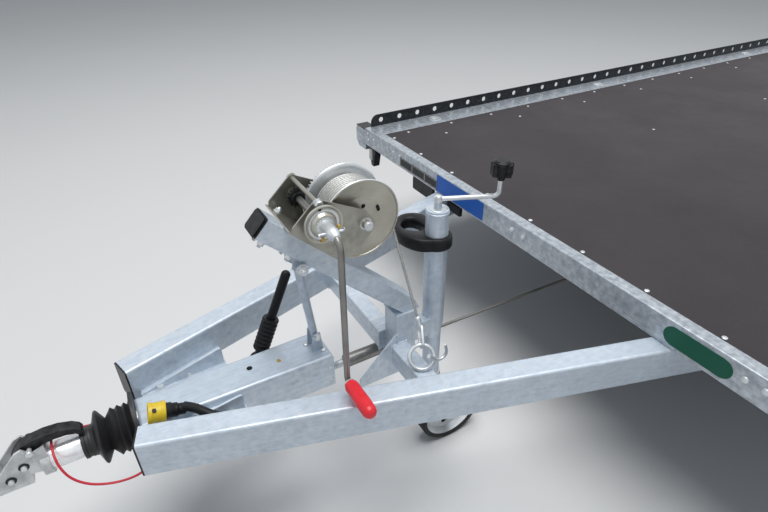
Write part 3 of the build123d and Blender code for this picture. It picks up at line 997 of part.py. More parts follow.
FORK_SHEET = 5.0
FORK_HALF = JOCKEY_WHEEL_WIDTH / 2 + 6
WHEEL_AXLE_X = JOCKEY_X - JOCKEY_TRAIL
with BuildPart() as jockey_fork:
    rod((JOCKEY_X, JOCKEY_Y, FORK_CROWN_Z), (JOCKEY_X, JOCKEY_Y, FORK_CROWN_Z + FORK_NECK), 30)
    block((JOCKEY_X - 32, JOCKEY_X + 32), (JOCKEY_Y - FORK_HALF - FORK_SHEET, JOCKEY_Y + FORK_HALF + FORK_SHEET),
          (FORK_CROWN_Z, FORK_CROWN_Z + 8))
    for low in (JOCKEY_Y - FORK_HALF - FORK_SHEET, JOCKEY_Y + FORK_HALF):
        slab_y([(JOCKEY_X - 32, FORK_CROWN_Z + 8), (JOCKEY_X + 32, FORK_CROWN_Z + 8),
                (JOCKEY_X + 30, FORK_CROWN_Z - 30), (WHEEL_AXLE_X + 20, JOCKEY_WHEEL_R - 14),
                (WHEEL_AXLE_X - 10, JOCKEY_WHEEL_R - 18), (WHEEL_AXLE_X - 22, JOCKEY_WHEEL_R + 6),
                (WHEEL_AXLE_X - 8, JOCKEY_WHEEL_R + 20)], low, low + FORK_SHEET)
    rod((WHEEL_AXLE_X, JOCKEY_Y - FORK_HALF - FORK_SHEET - 6, JOCKEY_WHEEL_R),
        (WHEEL_AXLE_X, JOCKEY_Y + FORK_HALF + FORK_SHEET + 6, JOCKEY_WHEEL_R), JOCKEY_PIN_R)
save(jockey_fork, "jockey_fork")

JOCKEY_RIM_R = JOCKEY_WHEEL_R - 16.0
with BuildPart() as jockey_wheel:
    half = JOCKEY_WHEEL_WIDTH / 2
    turned((WHEEL_AXLE_X, JOCKEY_Y, JOCKEY_WHEEL_R), (0, 1, 0), [
        (JOCKEY_PIN_R + SEAT_GAP, -half), (20, -half), (22, -10), (JOCKEY_RIM_R - 14, -6),
        (JOCKEY_RIM_R, -half + 6), (JOCKEY_RIM_R, half - 6), (JOCKEY_RIM_R - 14, 6), (22, 10), (20, half),
        (JOCKEY_PIN_R + SEAT_GAP, half)])
save(jockey_wheel, "jockey_wheel")

with BuildPart() as jockey_tyre:
    turned((WHEEL_AXLE_X, JOCKEY_Y, JOCKEY_WHEEL_R), (0, 1, 0), [
        (JOCKEY_RIM_R + SEAT_GAP, -26), (JOCKEY_WHEEL_R - 5, -half), (JOCKEY_WHEEL_R, -half + 8),
        (JOCKEY_WHEEL_R, half - 8), (JOCKEY_WHEEL_R - 5, half), (JOCKEY_RIM_R + SEAT_GAP, 26)])
save(jockey_tyre, "jockey_tyre")


def cord(points, diameter, name):
    """Round cord along runs joined by tangent arcs; prints its radii and length."""
    radii = []
    for before, here, after in zip(points, points[1:], points[2:]):
        into = Vector(*here) - Vector(*before)
        out = Vector(*after) - Vector(*here)
        turn = radians(into.get_angle(out))
        radii.append(0.45 * min(into.length, out.length) / tan(turn / 2))
    with BuildPart() as piece:
        with BuildLine():
            if radii:
                centre_line = FilletPolyline(*points, radius=radii)
            else:
                centre_line = Line(*points)
        start = Vector(*points[1]) - Vector(*points[0])
        with BuildSketch(Plane(origin=points[0], z_dir=start)):
            Circle(diameter / 2)
        sweep(path=centre_line)
    expected = pi * diameter ** 2 / 4 * centre_line.length
    print(name, "length", round(centre_line.length), "radii", [round(r) for r in radii],
          "volume share", round(piece.part.volume / expected, 4))
    return piece


# Winch rope from the drum down to its thimble beside the post, taut
HOOK_EYE = (BED_FRONT + 530.0, 170.0, DECK_HEIGHT - 3.0)
ROPE_Y = 98.0                # where the rope leaves the drum
to_drum = (DRUM_AXIS[0] - HOOK_EYE[0], DRUM_AXIS[1] - HOOK_EYE[2])
wrap_r = WINDING_R + ROPE_DIAMETER / 2 + SEAT_GAP
free_run = sqrt(hypot(*to_drum) ** 2 - wrap_r ** 2)
lean = atan2(to_drum[1], to_drum[0]) + atan2(wrap_r, free_run)
ROPE_LEAVES = (HOOK_EYE[0] + free_run * cos(lean), ROPE_Y, HOOK_EYE[2] + free_run * sin(lean))
winch_rope = cord((ROPE_LEAVES, HOOK_EYE), ROPE_DIAMETER, "winch_rope")
save(winch_rope, "winch_rope")

# Breakaway cable: from the housing's left side up over the tow tube and back along its right side
BREAKAWAY_DIAMETER = 5.5
BREAKAWAY_TABLE = (          # ahead of the bed, left of the centre line, below the deck
    (1187, 72, -222), (1225, 95, -224), (1262, 100, -218), (1298, 99, -206), (1330, 92, -191),
    (1356, 78, -170), (1369, 60, -146), (1373, 42, -127), (1374, 20, -117.5), (1374, -4, -117.5),
    (1372, -28, -126), (1366, -46, -143), (1352, -60, -160), (1330, -70, -176), (1296, -80, -192),
    (1258, -84, -206), (1222, -82, -216), (1187, -72, -222))
BREAKAWAY_SEAT = housing_half(BED_FRONT + 1180) + 0.9
BREAKAWAY_ROUTE = ([(BED_FRONT + 1180, BREAKAWAY_SEAT, DECK_HEIGHT - 222)]
                   + [(BED_FRONT + ahead, y, DECK_HEIGHT + drop) for ahead, y, drop in BREAKAWAY_TABLE]
                   + [(BED_FRONT + 1180, -BREAKAWAY_SEAT, DECK_HEIGHT - 222)])
breakaway_cable = cord(BREAKAWAY_ROUTE, BREAKAWAY_DIAMETER, "breakaway_cable")
save(breakaway_cable, "breakaway_cable")

# Hook end of the rope: ferrule, snap hook, the ring on the cross member, and the open hook on it
FERRULE_LENGTH = 30.0
FERRULE_R = 7.0
RING_R = 31.0
RING_BAR_R = 4.0
SNAP_BAR_R = 3.6
RING_CENTRE = (BED_FRONT + 548.0, 221.0, DECK_HEIGHT - 85.0)
RING_FACES = (0.41, 0.73, 0.54)
SNAP_HALF = 9.0
OPEN_HOOK = (                # ahead of the bed, below the deck, in one upright plane
    (536, -75), (521, -88), (505, -97), (487, -84), (493, -56))
OPEN_HOOK_Y = 240.0
with BuildPart() as winch_hook:
    down = (Vector(*HOOK_EYE) - Vector(*ROPE_LEAVES)).normalized()
    ferrule_end = Vector(*HOOK_EYE) + down * FERRULE_LENGTH
    rod(HOOK_EYE, tuple(ferrule_end), FERRULE_R)
    ring_plane = Plane(origin=RING_CENTRE, z_dir=RING_FACES)
    with Locations(ring_plane.location):
        Torus(RING_R, RING_BAR_R)
    upward = Vector(0, 0, 1) - ring_plane.z_dir * ring_plane.z_dir.Z
    ring_top = Vector(*RING_CENTRE) + upward.normalized() * RING_R
    snap_run = (ring_top - ferrule_end).normalized()
    snap_side = snap_run.cross(Vector(1, 0, 0)).normalized() * SNAP_HALF
    snap_low = ring_top + snap_run * 10
    bent_rod([tuple(ferrule_end - snap_run * 4), tuple(ferrule_end + snap_side + snap_run * 10),
              tuple(snap_low + snap_side), tuple(snap_low - snap_side),
              tuple(ferrule_end - snap_side + snap_run * 22)], [4.0, 6.0, 6.0], SNAP_BAR_R)
    bent_rod([(BED_FRONT + ahead, OPEN_HOOK_Y, DECK_HEIGHT + drop) for ahead, drop in OPEN_HOOK],
             [8.0, 8.0, 8.0], SNAP_BAR_R)
save(winch_hook, "winch_hook")
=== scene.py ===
import math

import bmesh
import bpy
from bpy.props import FloatProperty, FloatVectorProperty, IntProperty, PointerProperty
from mathutils import Matrix, Vector


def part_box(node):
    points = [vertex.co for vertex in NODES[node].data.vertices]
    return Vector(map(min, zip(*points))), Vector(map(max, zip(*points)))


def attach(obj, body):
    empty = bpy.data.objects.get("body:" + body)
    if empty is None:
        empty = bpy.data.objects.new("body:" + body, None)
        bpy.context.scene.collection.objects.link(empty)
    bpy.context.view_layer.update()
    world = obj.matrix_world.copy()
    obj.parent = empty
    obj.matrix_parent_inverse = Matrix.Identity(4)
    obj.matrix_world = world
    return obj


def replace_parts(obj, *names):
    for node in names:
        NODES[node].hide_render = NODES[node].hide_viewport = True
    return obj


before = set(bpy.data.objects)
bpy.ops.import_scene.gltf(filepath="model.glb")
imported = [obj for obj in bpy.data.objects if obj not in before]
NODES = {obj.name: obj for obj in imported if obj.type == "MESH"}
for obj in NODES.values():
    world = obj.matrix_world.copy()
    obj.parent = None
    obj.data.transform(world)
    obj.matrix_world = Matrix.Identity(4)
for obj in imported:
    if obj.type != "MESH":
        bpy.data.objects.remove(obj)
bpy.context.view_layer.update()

bl_info = {
    "name": "Car transporter trailer",
    "version": (1, 2, 0),
    "blender": (4, 5, 0),
    "location": "View3D > Sidebar > Trailer",
    "description": "Dresses the packed frame of a flat-bed car transporter trailer",
    "category": "Object",
}

# Reference planes of the trailer, taken from the frame
DECK_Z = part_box("floor_panel")[1].z
BED_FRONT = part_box("bed_front_beam")[1].x

AHEAD = (1, 0, 0)
ASTERN = (-1, 0, 0)
LEFT = (0, 1, 0)
RIGHT = (0, -1, 0)
UP = (0, 0, 1)
SIDES = (1, -1)


def at(ahead, left, above):
    """A point given in millimetres from the middle of the bed's front top edge."""
    return Vector((BED_FRONT + ahead / 1000, left / 1000, DECK_Z + above / 1000))


def to_side(side):
    """Direction out to the left for 1 and to the right for -1."""
    return (0, side, 0)


def colour_setting(name, default, description):
    return FloatVectorProperty(name=name, description=description, default=default,
                               subtype="COLOR", size=3, min=0.0, max=1.0)


class StageSettings(bpy.types.PropertyGroup):
    floor_colour: colour_setting("Floor colour", (0.80, 0.80, 0.80), "Colour of the plain floor")
    sky_strength: FloatProperty(name="Sky strength", default=0.25, min=0.0, max=4.0,
                                description="Strength of the even light from all round")
    key_power: FloatProperty(name="Key light", default=520.0, min=0.0, max=3000.0, unit="POWER",
                             description="Power of the large soft light overhead")
    lens: FloatProperty(name="Lens", default=25.43, min=10.0, max=200.0, unit="CAMERA",
                        description="Focal length that matches the photograph")


class ColourSettings(bpy.types.PropertyGroup):
    grip: colour_setting("Crank grip", (0.86, 0.020, 0.036), "Colour of the winch crank's grip")
    sleeve: colour_setting("Breakaway cable", (0.66, 0.018, 0.045), "Colour of the cable's sleeve")
    holder: colour_setting("Plug holder", (0.84, 0.60, 0.03), "Colour of the plug's parking holder")
    panel: colour_setting("Front panel", (0.012, 0.120, 0.52), "Colour of the blank front panel")
    sign: colour_setting("Oval sign", (0.004, 0.105, 0.062), "Colour of the blank oval sign")


class TyreSettings(bpy.types.PropertyGroup):
    blocks: IntProperty(name="Tread blocks", default=64, min=24, max=120,
                        description="Blocks round each shoulder of the tyre")
    groove: FloatProperty(name="Tread depth", default=6.0, min=1.0, max=9.0,
                          description="Depth of the tread grooves, in millimetres")


# Material building


class Finish:
    """A node material with a Principled shader, and short calls that wire textures to it."""

    def __init__(self, name, colour, rough=0.5, metal=0.0, specular=0.5):
        self.material = bpy.data.materials.new(name)
        self.material.use_nodes = True
        self.tree = self.material.node_tree
        self.shader = self.tree.nodes["Principled BSDF"]
        self.shader.inputs["Base Color"].default_value = (*colour, 1)
        self.shader.inputs["Roughness"].default_value = rough
        self.shader.inputs["Metallic"].default_value = metal
        self.shader.inputs["Specular IOR Level"].default_value = specular
        self.material.diffuse_color = (*colour, 1)
        self.place = self.tree.nodes.new("ShaderNodeTexCoord").outputs["Object"]

    def node(self, kind, **values):
        made = self.tree.nodes.new(kind)
        for key, value in values.items():
            if hasattr(made, key) and key not in made.inputs:
                setattr(made, key, value)
            else:
                made.inputs[key].default_value = value
        return made

    def link(self, source, target):
        self.tree.links.new(source, target)

    def stretched(self, scale):
        """Object coordinates scaled by a different factor along each axis."""
        mapping = self.node("ShaderNodeMapping")
        mapping.inputs["Scale"].default_value = scale
        self.link(self.place, mapping.inputs["Vector"])
        return mapping.outputs["Vector"]

    def noise(self, scale, detail=4.0, rough=0.55, source=None):
        made = self.node("ShaderNodeTexNoise", Scale=scale, Detail=detail, Roughness=rough)
        self.link(source or self.place, made.inputs["Vector"])
        return made.outputs["Fac"]

    def cells(self, scale):
        made = self.node("ShaderNodeTexVoronoi", Scale=scale)
        self.link(self.place, made.inputs["Vector"])
        return made

    def ramp(self, source, stops):
        """Colour ramp: stops are (position, colour) pairs."""
        made = self.node("ShaderNodeValToRGB")
        band = made.color_ramp
        while len(band.elements) > 1:
            band.elements.remove(band.elements[-1])
        band.elements[0].position = stops[0][0]
        band.elements[0].color = (*stops[0][1], 1)
        for position, colour in stops[1:]:
            band.elements.new(position).color = (*colour, 1)
        self.link(source, made.inputs["Fac"])
        return made.outputs["Color"]

    def span(self, source, low, high, from_low=0.0, from_high=1.0):
        """Maps a texture's value onto a range."""
        made = self.node("ShaderNodeMapRange")
        ends = {"From Min": from_low, "From Max": from_high, "To Min": low, "To Max": high}
        for key, value in ends.items():
            made.inputs[key].default_value = value
        self.link(source, made.inputs["Value"])
        return made.outputs["Result"]

    def mix(self, factor, first, second):
        """Mixes two colours, each a socket or a plain colour, by a socket."""
        made = self.node("ShaderNodeMix")
        made.data_type = "RGBA"
        self.link(factor, made.inputs[0])
        for value, socket in ((first, made.inputs[6]), (second, made.inputs[7])):
            if isinstance(value, bpy.types.NodeSocket):
                self.link(value, socket)
            else:
                socket.default_value = (*value, 1)
        return made.outputs[2]

    def colour_from(self, socket):
        self.link(socket, self.shader.inputs["Base Color"])

    def rough_from(self, socket):
        self.link(socket, self.shader.inputs["Roughness"])

    def bump(self, source, depth, strength=0.5):
        """Fine relief, with its depth in metres. Later calls stack on earlier ones."""
        made = self.node("ShaderNodeBump", Distance=depth, Strength=strength)
        self.link(source, made.inputs["Height"])
        normal = self.shader.inputs["Normal"]
        if normal.links:
            self.link(normal.links[0].from_socket, made.inputs["Normal"])
        self.link(made.outputs["Normal"], normal)

    def worn_and_highlit_edges(self, base, second_tone, share):
        """Lighter colour on sharp edges, broken up by noise: partly wear, partly a painted highlight where
        the edges catch the light.
        """
        geometry = self.node("ShaderNodeNewGeometry")
        edges = self.span(geometry.outputs["Pointiness"], 0.0, 1.0, 0.52, 0.60)
        patchy = self.node("ShaderNodeMath", operation="MULTIPLY")
        self.link(edges, patchy.inputs[0])
        self.link(self.span(self.noise(60), 0.0, 2.0 * share, 0.35, 0.75), patchy.inputs[1])
        return self.mix(patchy.outputs[0], base, second_tone)


def blended(first, second, share):
    """Plain colour part of the way from the first to the second."""
    return tuple(a * (1 - share) + b * share for a, b in zip(first, second))


def brightened(colour, factor):
    return tuple(min(1.0, c * factor) for c in colour)


def galvanised(name, light, dark, grain, rough, metal):
    """Hot-dip zinc: blue-grey, with spangles, clouds and fine streaks along the grain."""
    f = Finish(name, light, rough, metal)
    clouds = f.noise(6.0, 7.0, 0.62)
    streaks = f.noise(3.2, 7.0, 0.66, f.stretched(grain))
    grey = f.node("ShaderNodeRGBToBW")
    f.link(f.cells(70.0).outputs["Color"], grey.inputs["Color"])
    tone = f.ramp(clouds, [(0.26, blended(light, dark, 0.4)), (0.50, blended(light, dark, 0.2)),
                           (0.70, light)])
    tone = f.mix(f.span(streaks, 0.0, 0.55, 0.48, 0.72), tone, dark)
    tone = f.mix(f.span(streaks, 0.42, 0.0, 0.28, 0.46), tone, brightened(light, 1.25))
    tone = f.mix(f.span(grey.outputs[0], 0.0, 0.22, 0.3, 0.8), tone, brightened(light, 1.3))
    # Lighter sharp edges: partly wear, partly a painted highlight
    f.colour_from(f.worn_and_highlit_edges(tone, (0.78, 0.82, 0.86), 0.3))
    f.rough_from(f.span(streaks, rough - 0.10, rough + 0.16, 0.3, 0.7))
    f.bump(f.noise(150.0, 4.0), 0.0006, 0.25)
    f.bump(streaks, 0.0016, 0.14)
    f.bump(clouds, 0.004, 0.10)
    return f.material


def film_plywood(name):
    """Film-faced plywood: dark brown, a fine mesh print, faint scuffs and dust."""
    f = Finish(name, (0.040, 0.034, 0.038), 0.60, 0.0, 0.22)
    clouds = f.noise(1.6, 6.0, 0.6)
    scuffs = f.noise(2.2, 9.0, 0.7)
    specks = f.noise(240.0, 2.0, 0.5)
    tone = f.ramp(clouds, [(0.30, (0.034, 0.029, 0.033)), (0.70, (0.047, 0.040, 0.044))])
    tone = f.mix(f.span(scuffs, 0.0, 0.20, 0.58, 0.80), tone, (0.13, 0.120, 0.122))
    tone = f.mix(f.span(specks, 0.0, 0.30, 0.62, 0.80), tone, (0.12, 0.110, 0.112))
    f.colour_from(tone)
    f.bump(f.cells(190.0).outputs["Distance"], 0.0006, 0.30)
    f.rough_from(f.span(scuffs, 0.50, 0.70, 0.3, 0.8))
    return f.material


def plain_black(name, colour, rough, grain, depth):
    """Black moulding or coated steel with a fine grain, and paler edges that are partly wear and partly a
    painted highlight.
    """
    f = Finish(name, colour, rough, 0.0, 0.18)
    paler = tuple(c * 1.8 + 0.004 for c in colour)
    tone = f.mix(f.span(f.noise(18.0, 5.0), 0.0, 0.35, 0.4, 0.8), colour, paler)
    f.colour_from(f.worn_and_highlit_edges(tone, (0.075, 0.077, 0.080), 0.3))
    f.rough_from(f.span(f.noise(35.0, 4.0), rough - 0.08, rough + 0.10))
    f.bump(f.noise(grain, 2.0), depth, 0.35)
    return f.material


def zinc_plate(name, colour, tint, rough, metal):
    """Passivated zinc: bright, with faint drifts of tint and fine scratches."""
    f = Finish(name, colour, rough, metal)
    drift = f.noise(14.0, 3.0, 0.5)
    paler = tuple(min(1.0, c * 1.16 + 0.02) for c in colour)
    tone = f.ramp(drift, [(0.30, tint), (0.52, colour), (0.74, paler)])
    # Lighter sharp edges: partly wear, partly a painted highlight
    f.colour_from(f.worn_and_highlit_edges(tone, paler, 0.5))
    f.rough_from(f.span(f.noise(60.0, 4.0), rough - 0.06, rough + 0.14))
    f.bump(f.noise(260.0, 2.0), 0.0003, 0.20)
    return f.material


def cast_zinc(name):
    """Zinc-plated casting: pale, granular, dull in its hollows."""
    f = Finish(name, (0.62, 0.63, 0.63), 0.44, 0.55)
    f.colour_from(f.ramp(f.noise(26.0, 7.0, 0.65), [(0.34, (0.40, 0.41, 0.42)), (0.60, (0.70, 0.71, 0.72))]))
    f.rough_from(f.span(f.noise(50.0), 0.36, 0.62))
    f.bump(f.noise(420.0, 2.0), 0.0009, 0.50)
    f.bump(f.noise(60.0, 4.0), 0.0014, 0.20)
    return f.material


def bellows_rubber(name):
    """Black rubber: satin, with a little dust where it is not rubbed."""
    f = Finish(name, (0.012, 0.012, 0.013), 0.42, 0.0, 0.45)
    dust = f.noise(25.0, 6.0, 0.65)
    f.colour_from(f.mix(f.span(dust, 0.0, 0.25, 0.55, 0.85), (0.012, 0.012, 0.013), (0.075, 0.072, 0.070)))
    f.rough_from(f.span(dust, 0.36, 0.60))
    f.bump(f.noise(300.0, 2.0), 0.0004, 0.3)
    return f.material


def gloss_plastic(name, colour, rough):
    """Coloured moulding or sleeve with slight unevenness."""
    f = Finish(name, colour, rough, 0.0, 0.5)
    darker = tuple(c * 0.72 for c in colour)
    f.colour_from(f.mix(f.span(f.noise(30.0, 4.0), 0.0, 0.6, 0.35, 0.8), colour, darker))
    f.rough_from(f.span(f.noise(80.0, 3.0), rough - 0.06, rough + 0.12))
    f.bump(f.noise(500.0, 1.0), 0.0002, 0.2)
    return f.material


def lens(name, colour):
    """Moulded lamp lens: fine upright flutes under a glossy skin."""
    f = Finish(name, colour, 0.12, 0.0, 0.6)
    f.shader.inputs["Transmission Weight"].default_value = 0.25
    wave = f.node("ShaderNodeTexWave", Scale=90.0)
    wave.bands_direction = "Y"
    f.link(f.place, wave.inputs["Vector"])
    f.colour_from(f.mix(f.span(wave.outputs["Fac"], 0.0, 0.35), colour, tuple(c * 0.6 for c in colour)))
    f.bump(wave.outputs["Fac"], 0.0015, 0.5)
    return f.material


def silver_paint(name):
    """Silver wheel paint with fine flake and road film."""
    f = Finish(name, (0.50, 0.51, 0.52), 0.34, 0.5)
    film = f.noise(16.0, 5.0)
    f.colour_from(f.mix(f.span(film, 0.0, 0.5, 0.45, 0.85), (0.54, 0.55, 0.56), (0.30, 0.28, 0.26)))
    f.rough_from(f.span(film, 0.28, 0.52))
    f.bump(f.noise(700.0, 1.0), 0.0002, 0.2)
    return f.material


def tyre_rubber(name):
    """Tyre: worn black with a dusty sidewall."""
    f = Finish(name, (0.022, 0.022, 0.023), 0.72, 0.0, 0.3)
    dust = f.noise(9.0, 7.0, 0.65)
    f.colour_from(f.mix(f.span(dust, 0.0, 0.40, 0.45, 0.8), (0.020, 0.020, 0.021), (0.085, 0.080, 0.074)))
    f.rough_from(f.span(dust, 0.62, 0.86))
    f.bump(f.noise(220.0, 3.0), 0.0008, 0.35)
    return f.material


def wire_rope(name):
    """Galvanised wire rope: fine wires over the strands, a little grease in between."""
    f = Finish(name, (0.50, 0.50, 0.48), 0.40, 0.6)
    wires = f.noise(900.0, 2.0, 0.5, f.stretched((1.0, 1.0, 0.35)))
    grease = f.noise(40.0, 5.0, 0.6)
    tone = f.mix(f.span(wires, 0.0, 1.0, 0.35, 0.65), (0.30, 0.30, 0.29), (0.66, 0.66, 0.64))
    f.colour_from(f.mix(f.span(grease, 0.0, 0.55, 0.55, 0.80), tone, (0.16, 0.15, 0.14)))
    f.rough_from(f.span(grease, 0.34, 0.55))
    f.bump(wires, 0.0005, 0.5)
    return f.material


def flat_label(name, colour, second_tone):
    """Plain film: even colour with faint scuffs and a soft sheen."""
    f = Finish(name, colour, 0.38, 0.0, 0.25)
    scuffs = f.noise(24.0, 7.0, 0.68, f.stretched((1.0, 0.5, 2.0)))
    f.colour_from(f.mix(f.span(scuffs, 0.0, 0.30, 0.56, 0.80), colour, second_tone))
    f.rough_from(f.span(scuffs, 0.30, 0.52))
    f.bump(f.noise(180.0, 2.0), 0.0002, 0.15)
    return f.material


ZINC_LIGHT = (0.56, 0.64, 0.73)
ZINC_DARK = (0.37, 0.42, 0.48)

# Each finish's maker, and what the maker takes after the name. A word stands for a colour setting.
FINISHES = {
    # Lighter and darker tone, stretch of the grain, roughness, metal
    "galvanised": (galvanised, ZINC_LIGHT, ZINC_DARK, (1.6, 34.0, 34.0), 0.38, 0.30),
    "galvanised_upright": (galvanised, ZINC_LIGHT, ZINC_DARK, (30.0, 30.0, 2.0), 0.38, 0.30),
    "folded_sheet": (galvanised, (0.34, 0.38, 0.43), (0.22, 0.245, 0.27), (20.0, 1.2, 26.0), 0.32, 0.50),
    # Colour, roughness, scale and depth of the grain
    "black_plastic": (plain_black, (0.008, 0.0085, 0.010), 0.36, 420.0, 0.0004),
    "black_steel": (plain_black, (0.016, 0.018, 0.022), 0.38, 260.0, 0.0003),
    # Painted shade: the dark inside of holes, laid on shallow discs
    "dark_recess": (plain_black, (0.010, 0.010, 0.011), 0.80, 200.0, 0.0003),
    # Colour, tint of the drifts, roughness, metal
    "bright_zinc": (zinc_plate, (0.66, 0.69, 0.71), (0.52, 0.545, 0.56), 0.30, 0.60),
    "winch_plate": (zinc_plate, (0.33, 0.32, 0.28), (0.24, 0.235, 0.21), 0.30, 0.70),
    "flange_zinc": (zinc_plate, (0.42, 0.405, 0.35), (0.31, 0.30, 0.26), 0.26, 0.75),
    "brake_zinc": (zinc_plate, (0.46, 0.45, 0.40), (0.36, 0.35, 0.31), 0.28, 0.75),
    "rod_zinc": (zinc_plate, (0.24, 0.232, 0.22), (0.18, 0.175, 0.165), 0.30, 0.70),
    "dark_steel": (zinc_plate, (0.07, 0.07, 0.068), (0.045, 0.045, 0.045), 0.38, 0.70),
    "tube_zinc": (zinc_plate, (0.84, 0.87, 0.90), (0.74, 0.77, 0.80), 0.24, 0.50),
    "brass": (zinc_plate, (0.52, 0.36, 0.10), (0.40, 0.26, 0.08), 0.30, 0.80),
    # Colour, roughness
    "red_grip": (gloss_plastic, "grip", 0.32),
    "red_sleeve": (gloss_plastic, "sleeve", 0.28),
    "yellow_plastic": (gloss_plastic, "holder", 0.34),
    "yellow_brown": (gloss_plastic, (0.44, 0.30, 0.05), 0.50),
    # Colour
    "clear_lens": (lens, (0.72, 0.74, 0.74)),
    "red_lens": (lens, (0.46, 0.018, 0.014)),
    "amber_lens": (lens, (0.78, 0.26, 0.02)),
    # Colour, colour where it is scuffed
    "label_black": (flat_label, (0.016, 0.017, 0.019), (0.10, 0.10, 0.10)),
    "label_white": (flat_label, (0.62, 0.63, 0.64), (0.42, 0.42, 0.41)),
    "label_blue": (flat_label, "panel", (0.05, 0.17, 0.50)),
    "sign_green": (flat_label, "sign", (0.03, 0.16, 0.10)),
    "film_plywood": (film_plywood,),
    "cast_zinc": (cast_zinc,),
    "bellows_rubber": (bellows_rubber,),
    "silver_paint": (silver_paint,),
    "tyre_rubber": (tyre_rubber,),
    "wire_rope": (wire_rope,),
}
MADE = {}


def finish_of(name):
    """Each finish is made once, when a piece first asks for it."""
    if name not in MADE:
        maker, *values = FINISHES[name]
        colours = bpy.context.scene.trailer_colours
        MADE[name] = maker(name, *(tuple(getattr(colours, v)) if isinstance(v, str) else v for v in values))
    return MADE[name]


FINISH_OF_NODE = {
    "galvanised": ("left_drawbar_beam", "right_drawbar_beam", "chassis_rails", "overrun_housing",
                   "drawbar_cross_member", "winch_arm", "front_axle", "rear_axle", "ramp_shafts",
                   "left_ramp", "right_ramp"),
    "galvanised_upright": ("winch_post", "winch_strut", "jockey_tube", "jockey_stem"),
    "folded_sheet": ("bed_front_beam", "left_side_beam", "right_side_beam", "bed_rear_beam", "cross_members",
                     "corner_brackets"),
    "film_plywood": ("floor_panel",),
    "black_plastic": ("end_caps", "jockey_handle", "jockey_knob", "coupling_handle", "mudguards",
                      "handbrake_lever"),
    "black_steel": ("lashing_rails",),
    "winch_plate": ("winch_frame",),
    "rod_zinc": ("brake_rod",),
    "tube_zinc": ("tow_tube",),
    "bright_zinc": ("jockey_crank", "jockey_fork", "winch_hook", "jockey_wheel"),
    "cast_zinc": ("coupling_head",),
    "bellows_rubber": ("bellows",),
    "red_grip": ("crank_grip",),
    "red_sleeve": ("breakaway_cable",),
    "clear_lens": ("front_lamps",),
    "red_lens": ("rear_lamps",),
    "silver_paint": ("front_left_rim", "front_right_rim", "rear_left_rim", "rear_right_rim"),
    "tyre_rubber": ("front_left_tyre", "front_right_tyre", "rear_left_tyre", "rear_right_tyre",
                    "jockey_tyre"),
    "wire_rope": ("rope_winding", "winch_rope"),
}

# Nodes with several finishes in bands across the trailer: how far left a band reaches, and its finish
BANDS_OF_NODE = {
    "winch_crank": ((24.5, "dark_steel"), (150.0, "rod_zinc"), (168.0, "brake_zinc"), (207.0, "bright_zinc"),
                    (400.0, "rod_zinc")),
    "winch_drum": ((36.5, "bright_zinc"), (400.0, "flange_zinc")),
}


def wear(node_name, finish_name):
    """Gives a CAD node its finish."""
    materials = NODES[node_name].data.materials
    materials.clear()
    materials.append(finish_of(finish_name))


def wear_bands(node_name, bands):
    """Gives each face of a CAD node the finish of the band that its middle lies in."""
    mesh = NODES[node_name].data
    mesh.materials.clear()
    for _, finish_name in bands:
        mesh.materials.append(finish_of(finish_name))
    for face in mesh.polygons:
        left = face.center.y * 1000
        face.material_index = next(index for index, (limit, _) in enumerate(bands) if left < limit)


class TRAILER_OT_finishes(bpy.types.Operator):
    """Gives every CAD node its finish"""
    bl_idname = "trailer.finishes"
    bl_label = "Finishes"

    def execute(self, context):
        for finish_name, node_names in FINISH_OF_NODE.items():
            for node_name in node_names:
                wear(node_name, finish_name)
        for node_name, bands in BANDS_OF_NODE.items():
            wear_bands(node_name, bands)
        return {"FINISHED"}


# Stage, in metres in the scene's own frame, but the camera's place in millimetres from the bed
CAMERA_PLACE = (1115.7, 1046.4, 864.1)
CAMERA_YAW = -119.32
CAMERA_PITCH = -32.97
CAMERA_ROLL = -0.76
SENSOR_WIDTH = 36.0
FLOOR_SIZE = 60.0
SKY_COLOUR = (0.86, 0.93, 1.0, 1)
BACKGROUND_COLOUR = (0.93, 0.95, 0.97, 1)
KEY_DIAMETER = 6.0
KEY_PLACE = (1.6, 0.6, 8.0)
KEY_TARGET = (1.4, 0.0, 0.6)


def make_camera(context, focal_length):
    camera = bpy.data.objects.new("camera", bpy.data.cameras.new("camera"))
    context.collection.objects.link(camera)
    camera.data.lens = focal_length
    camera.data.sensor_width = SENSOR_WIDTH
    camera.data.clip_start = 0.02
    camera.data.clip_end = 200.0
    camera.location = at(*CAMERA_PLACE)
    yaw, pitch, roll = (math.radians(a) for a in (CAMERA_YAW, CAMERA_PITCH, CAMERA_ROLL))
    ahead = Vector((math.cos(pitch) * math.cos(yaw), math.cos(pitch) * math.sin(yaw), math.sin(pitch)))
    level = ahead.cross(Vector(UP)).normalized()
    upright = level.cross(ahead)
    across = level * math.cos(roll) + upright * math.sin(roll)
    up = upright * math.cos(roll) - level * math.sin(roll)
    camera.rotation_mode = "QUATERNION"
    camera.rotation_quaternion = Matrix((across, up, -ahead)).transposed().to_quaternion()
    context.scene.camera = camera


def make_floor(colour):
    reach = FLOOR_SIZE / 2
    corners = [(-reach, -reach, 0.0), (reach, -reach, 0.0), (reach, reach, 0.0), (-reach, reach, 0.0)]
    floor = mesh_piece("floor", corners, [(0, 1, 2, 3)])
    f = Finish("plain_floor", colour, 0.85, 0.0, 0.2)
    f.colour_from(f.mix(f.span(f.noise(0.8, 3.0), 0.0, 0.5), colour, brightened(colour, 1.08)))
    floor.data.materials.append(f.material)


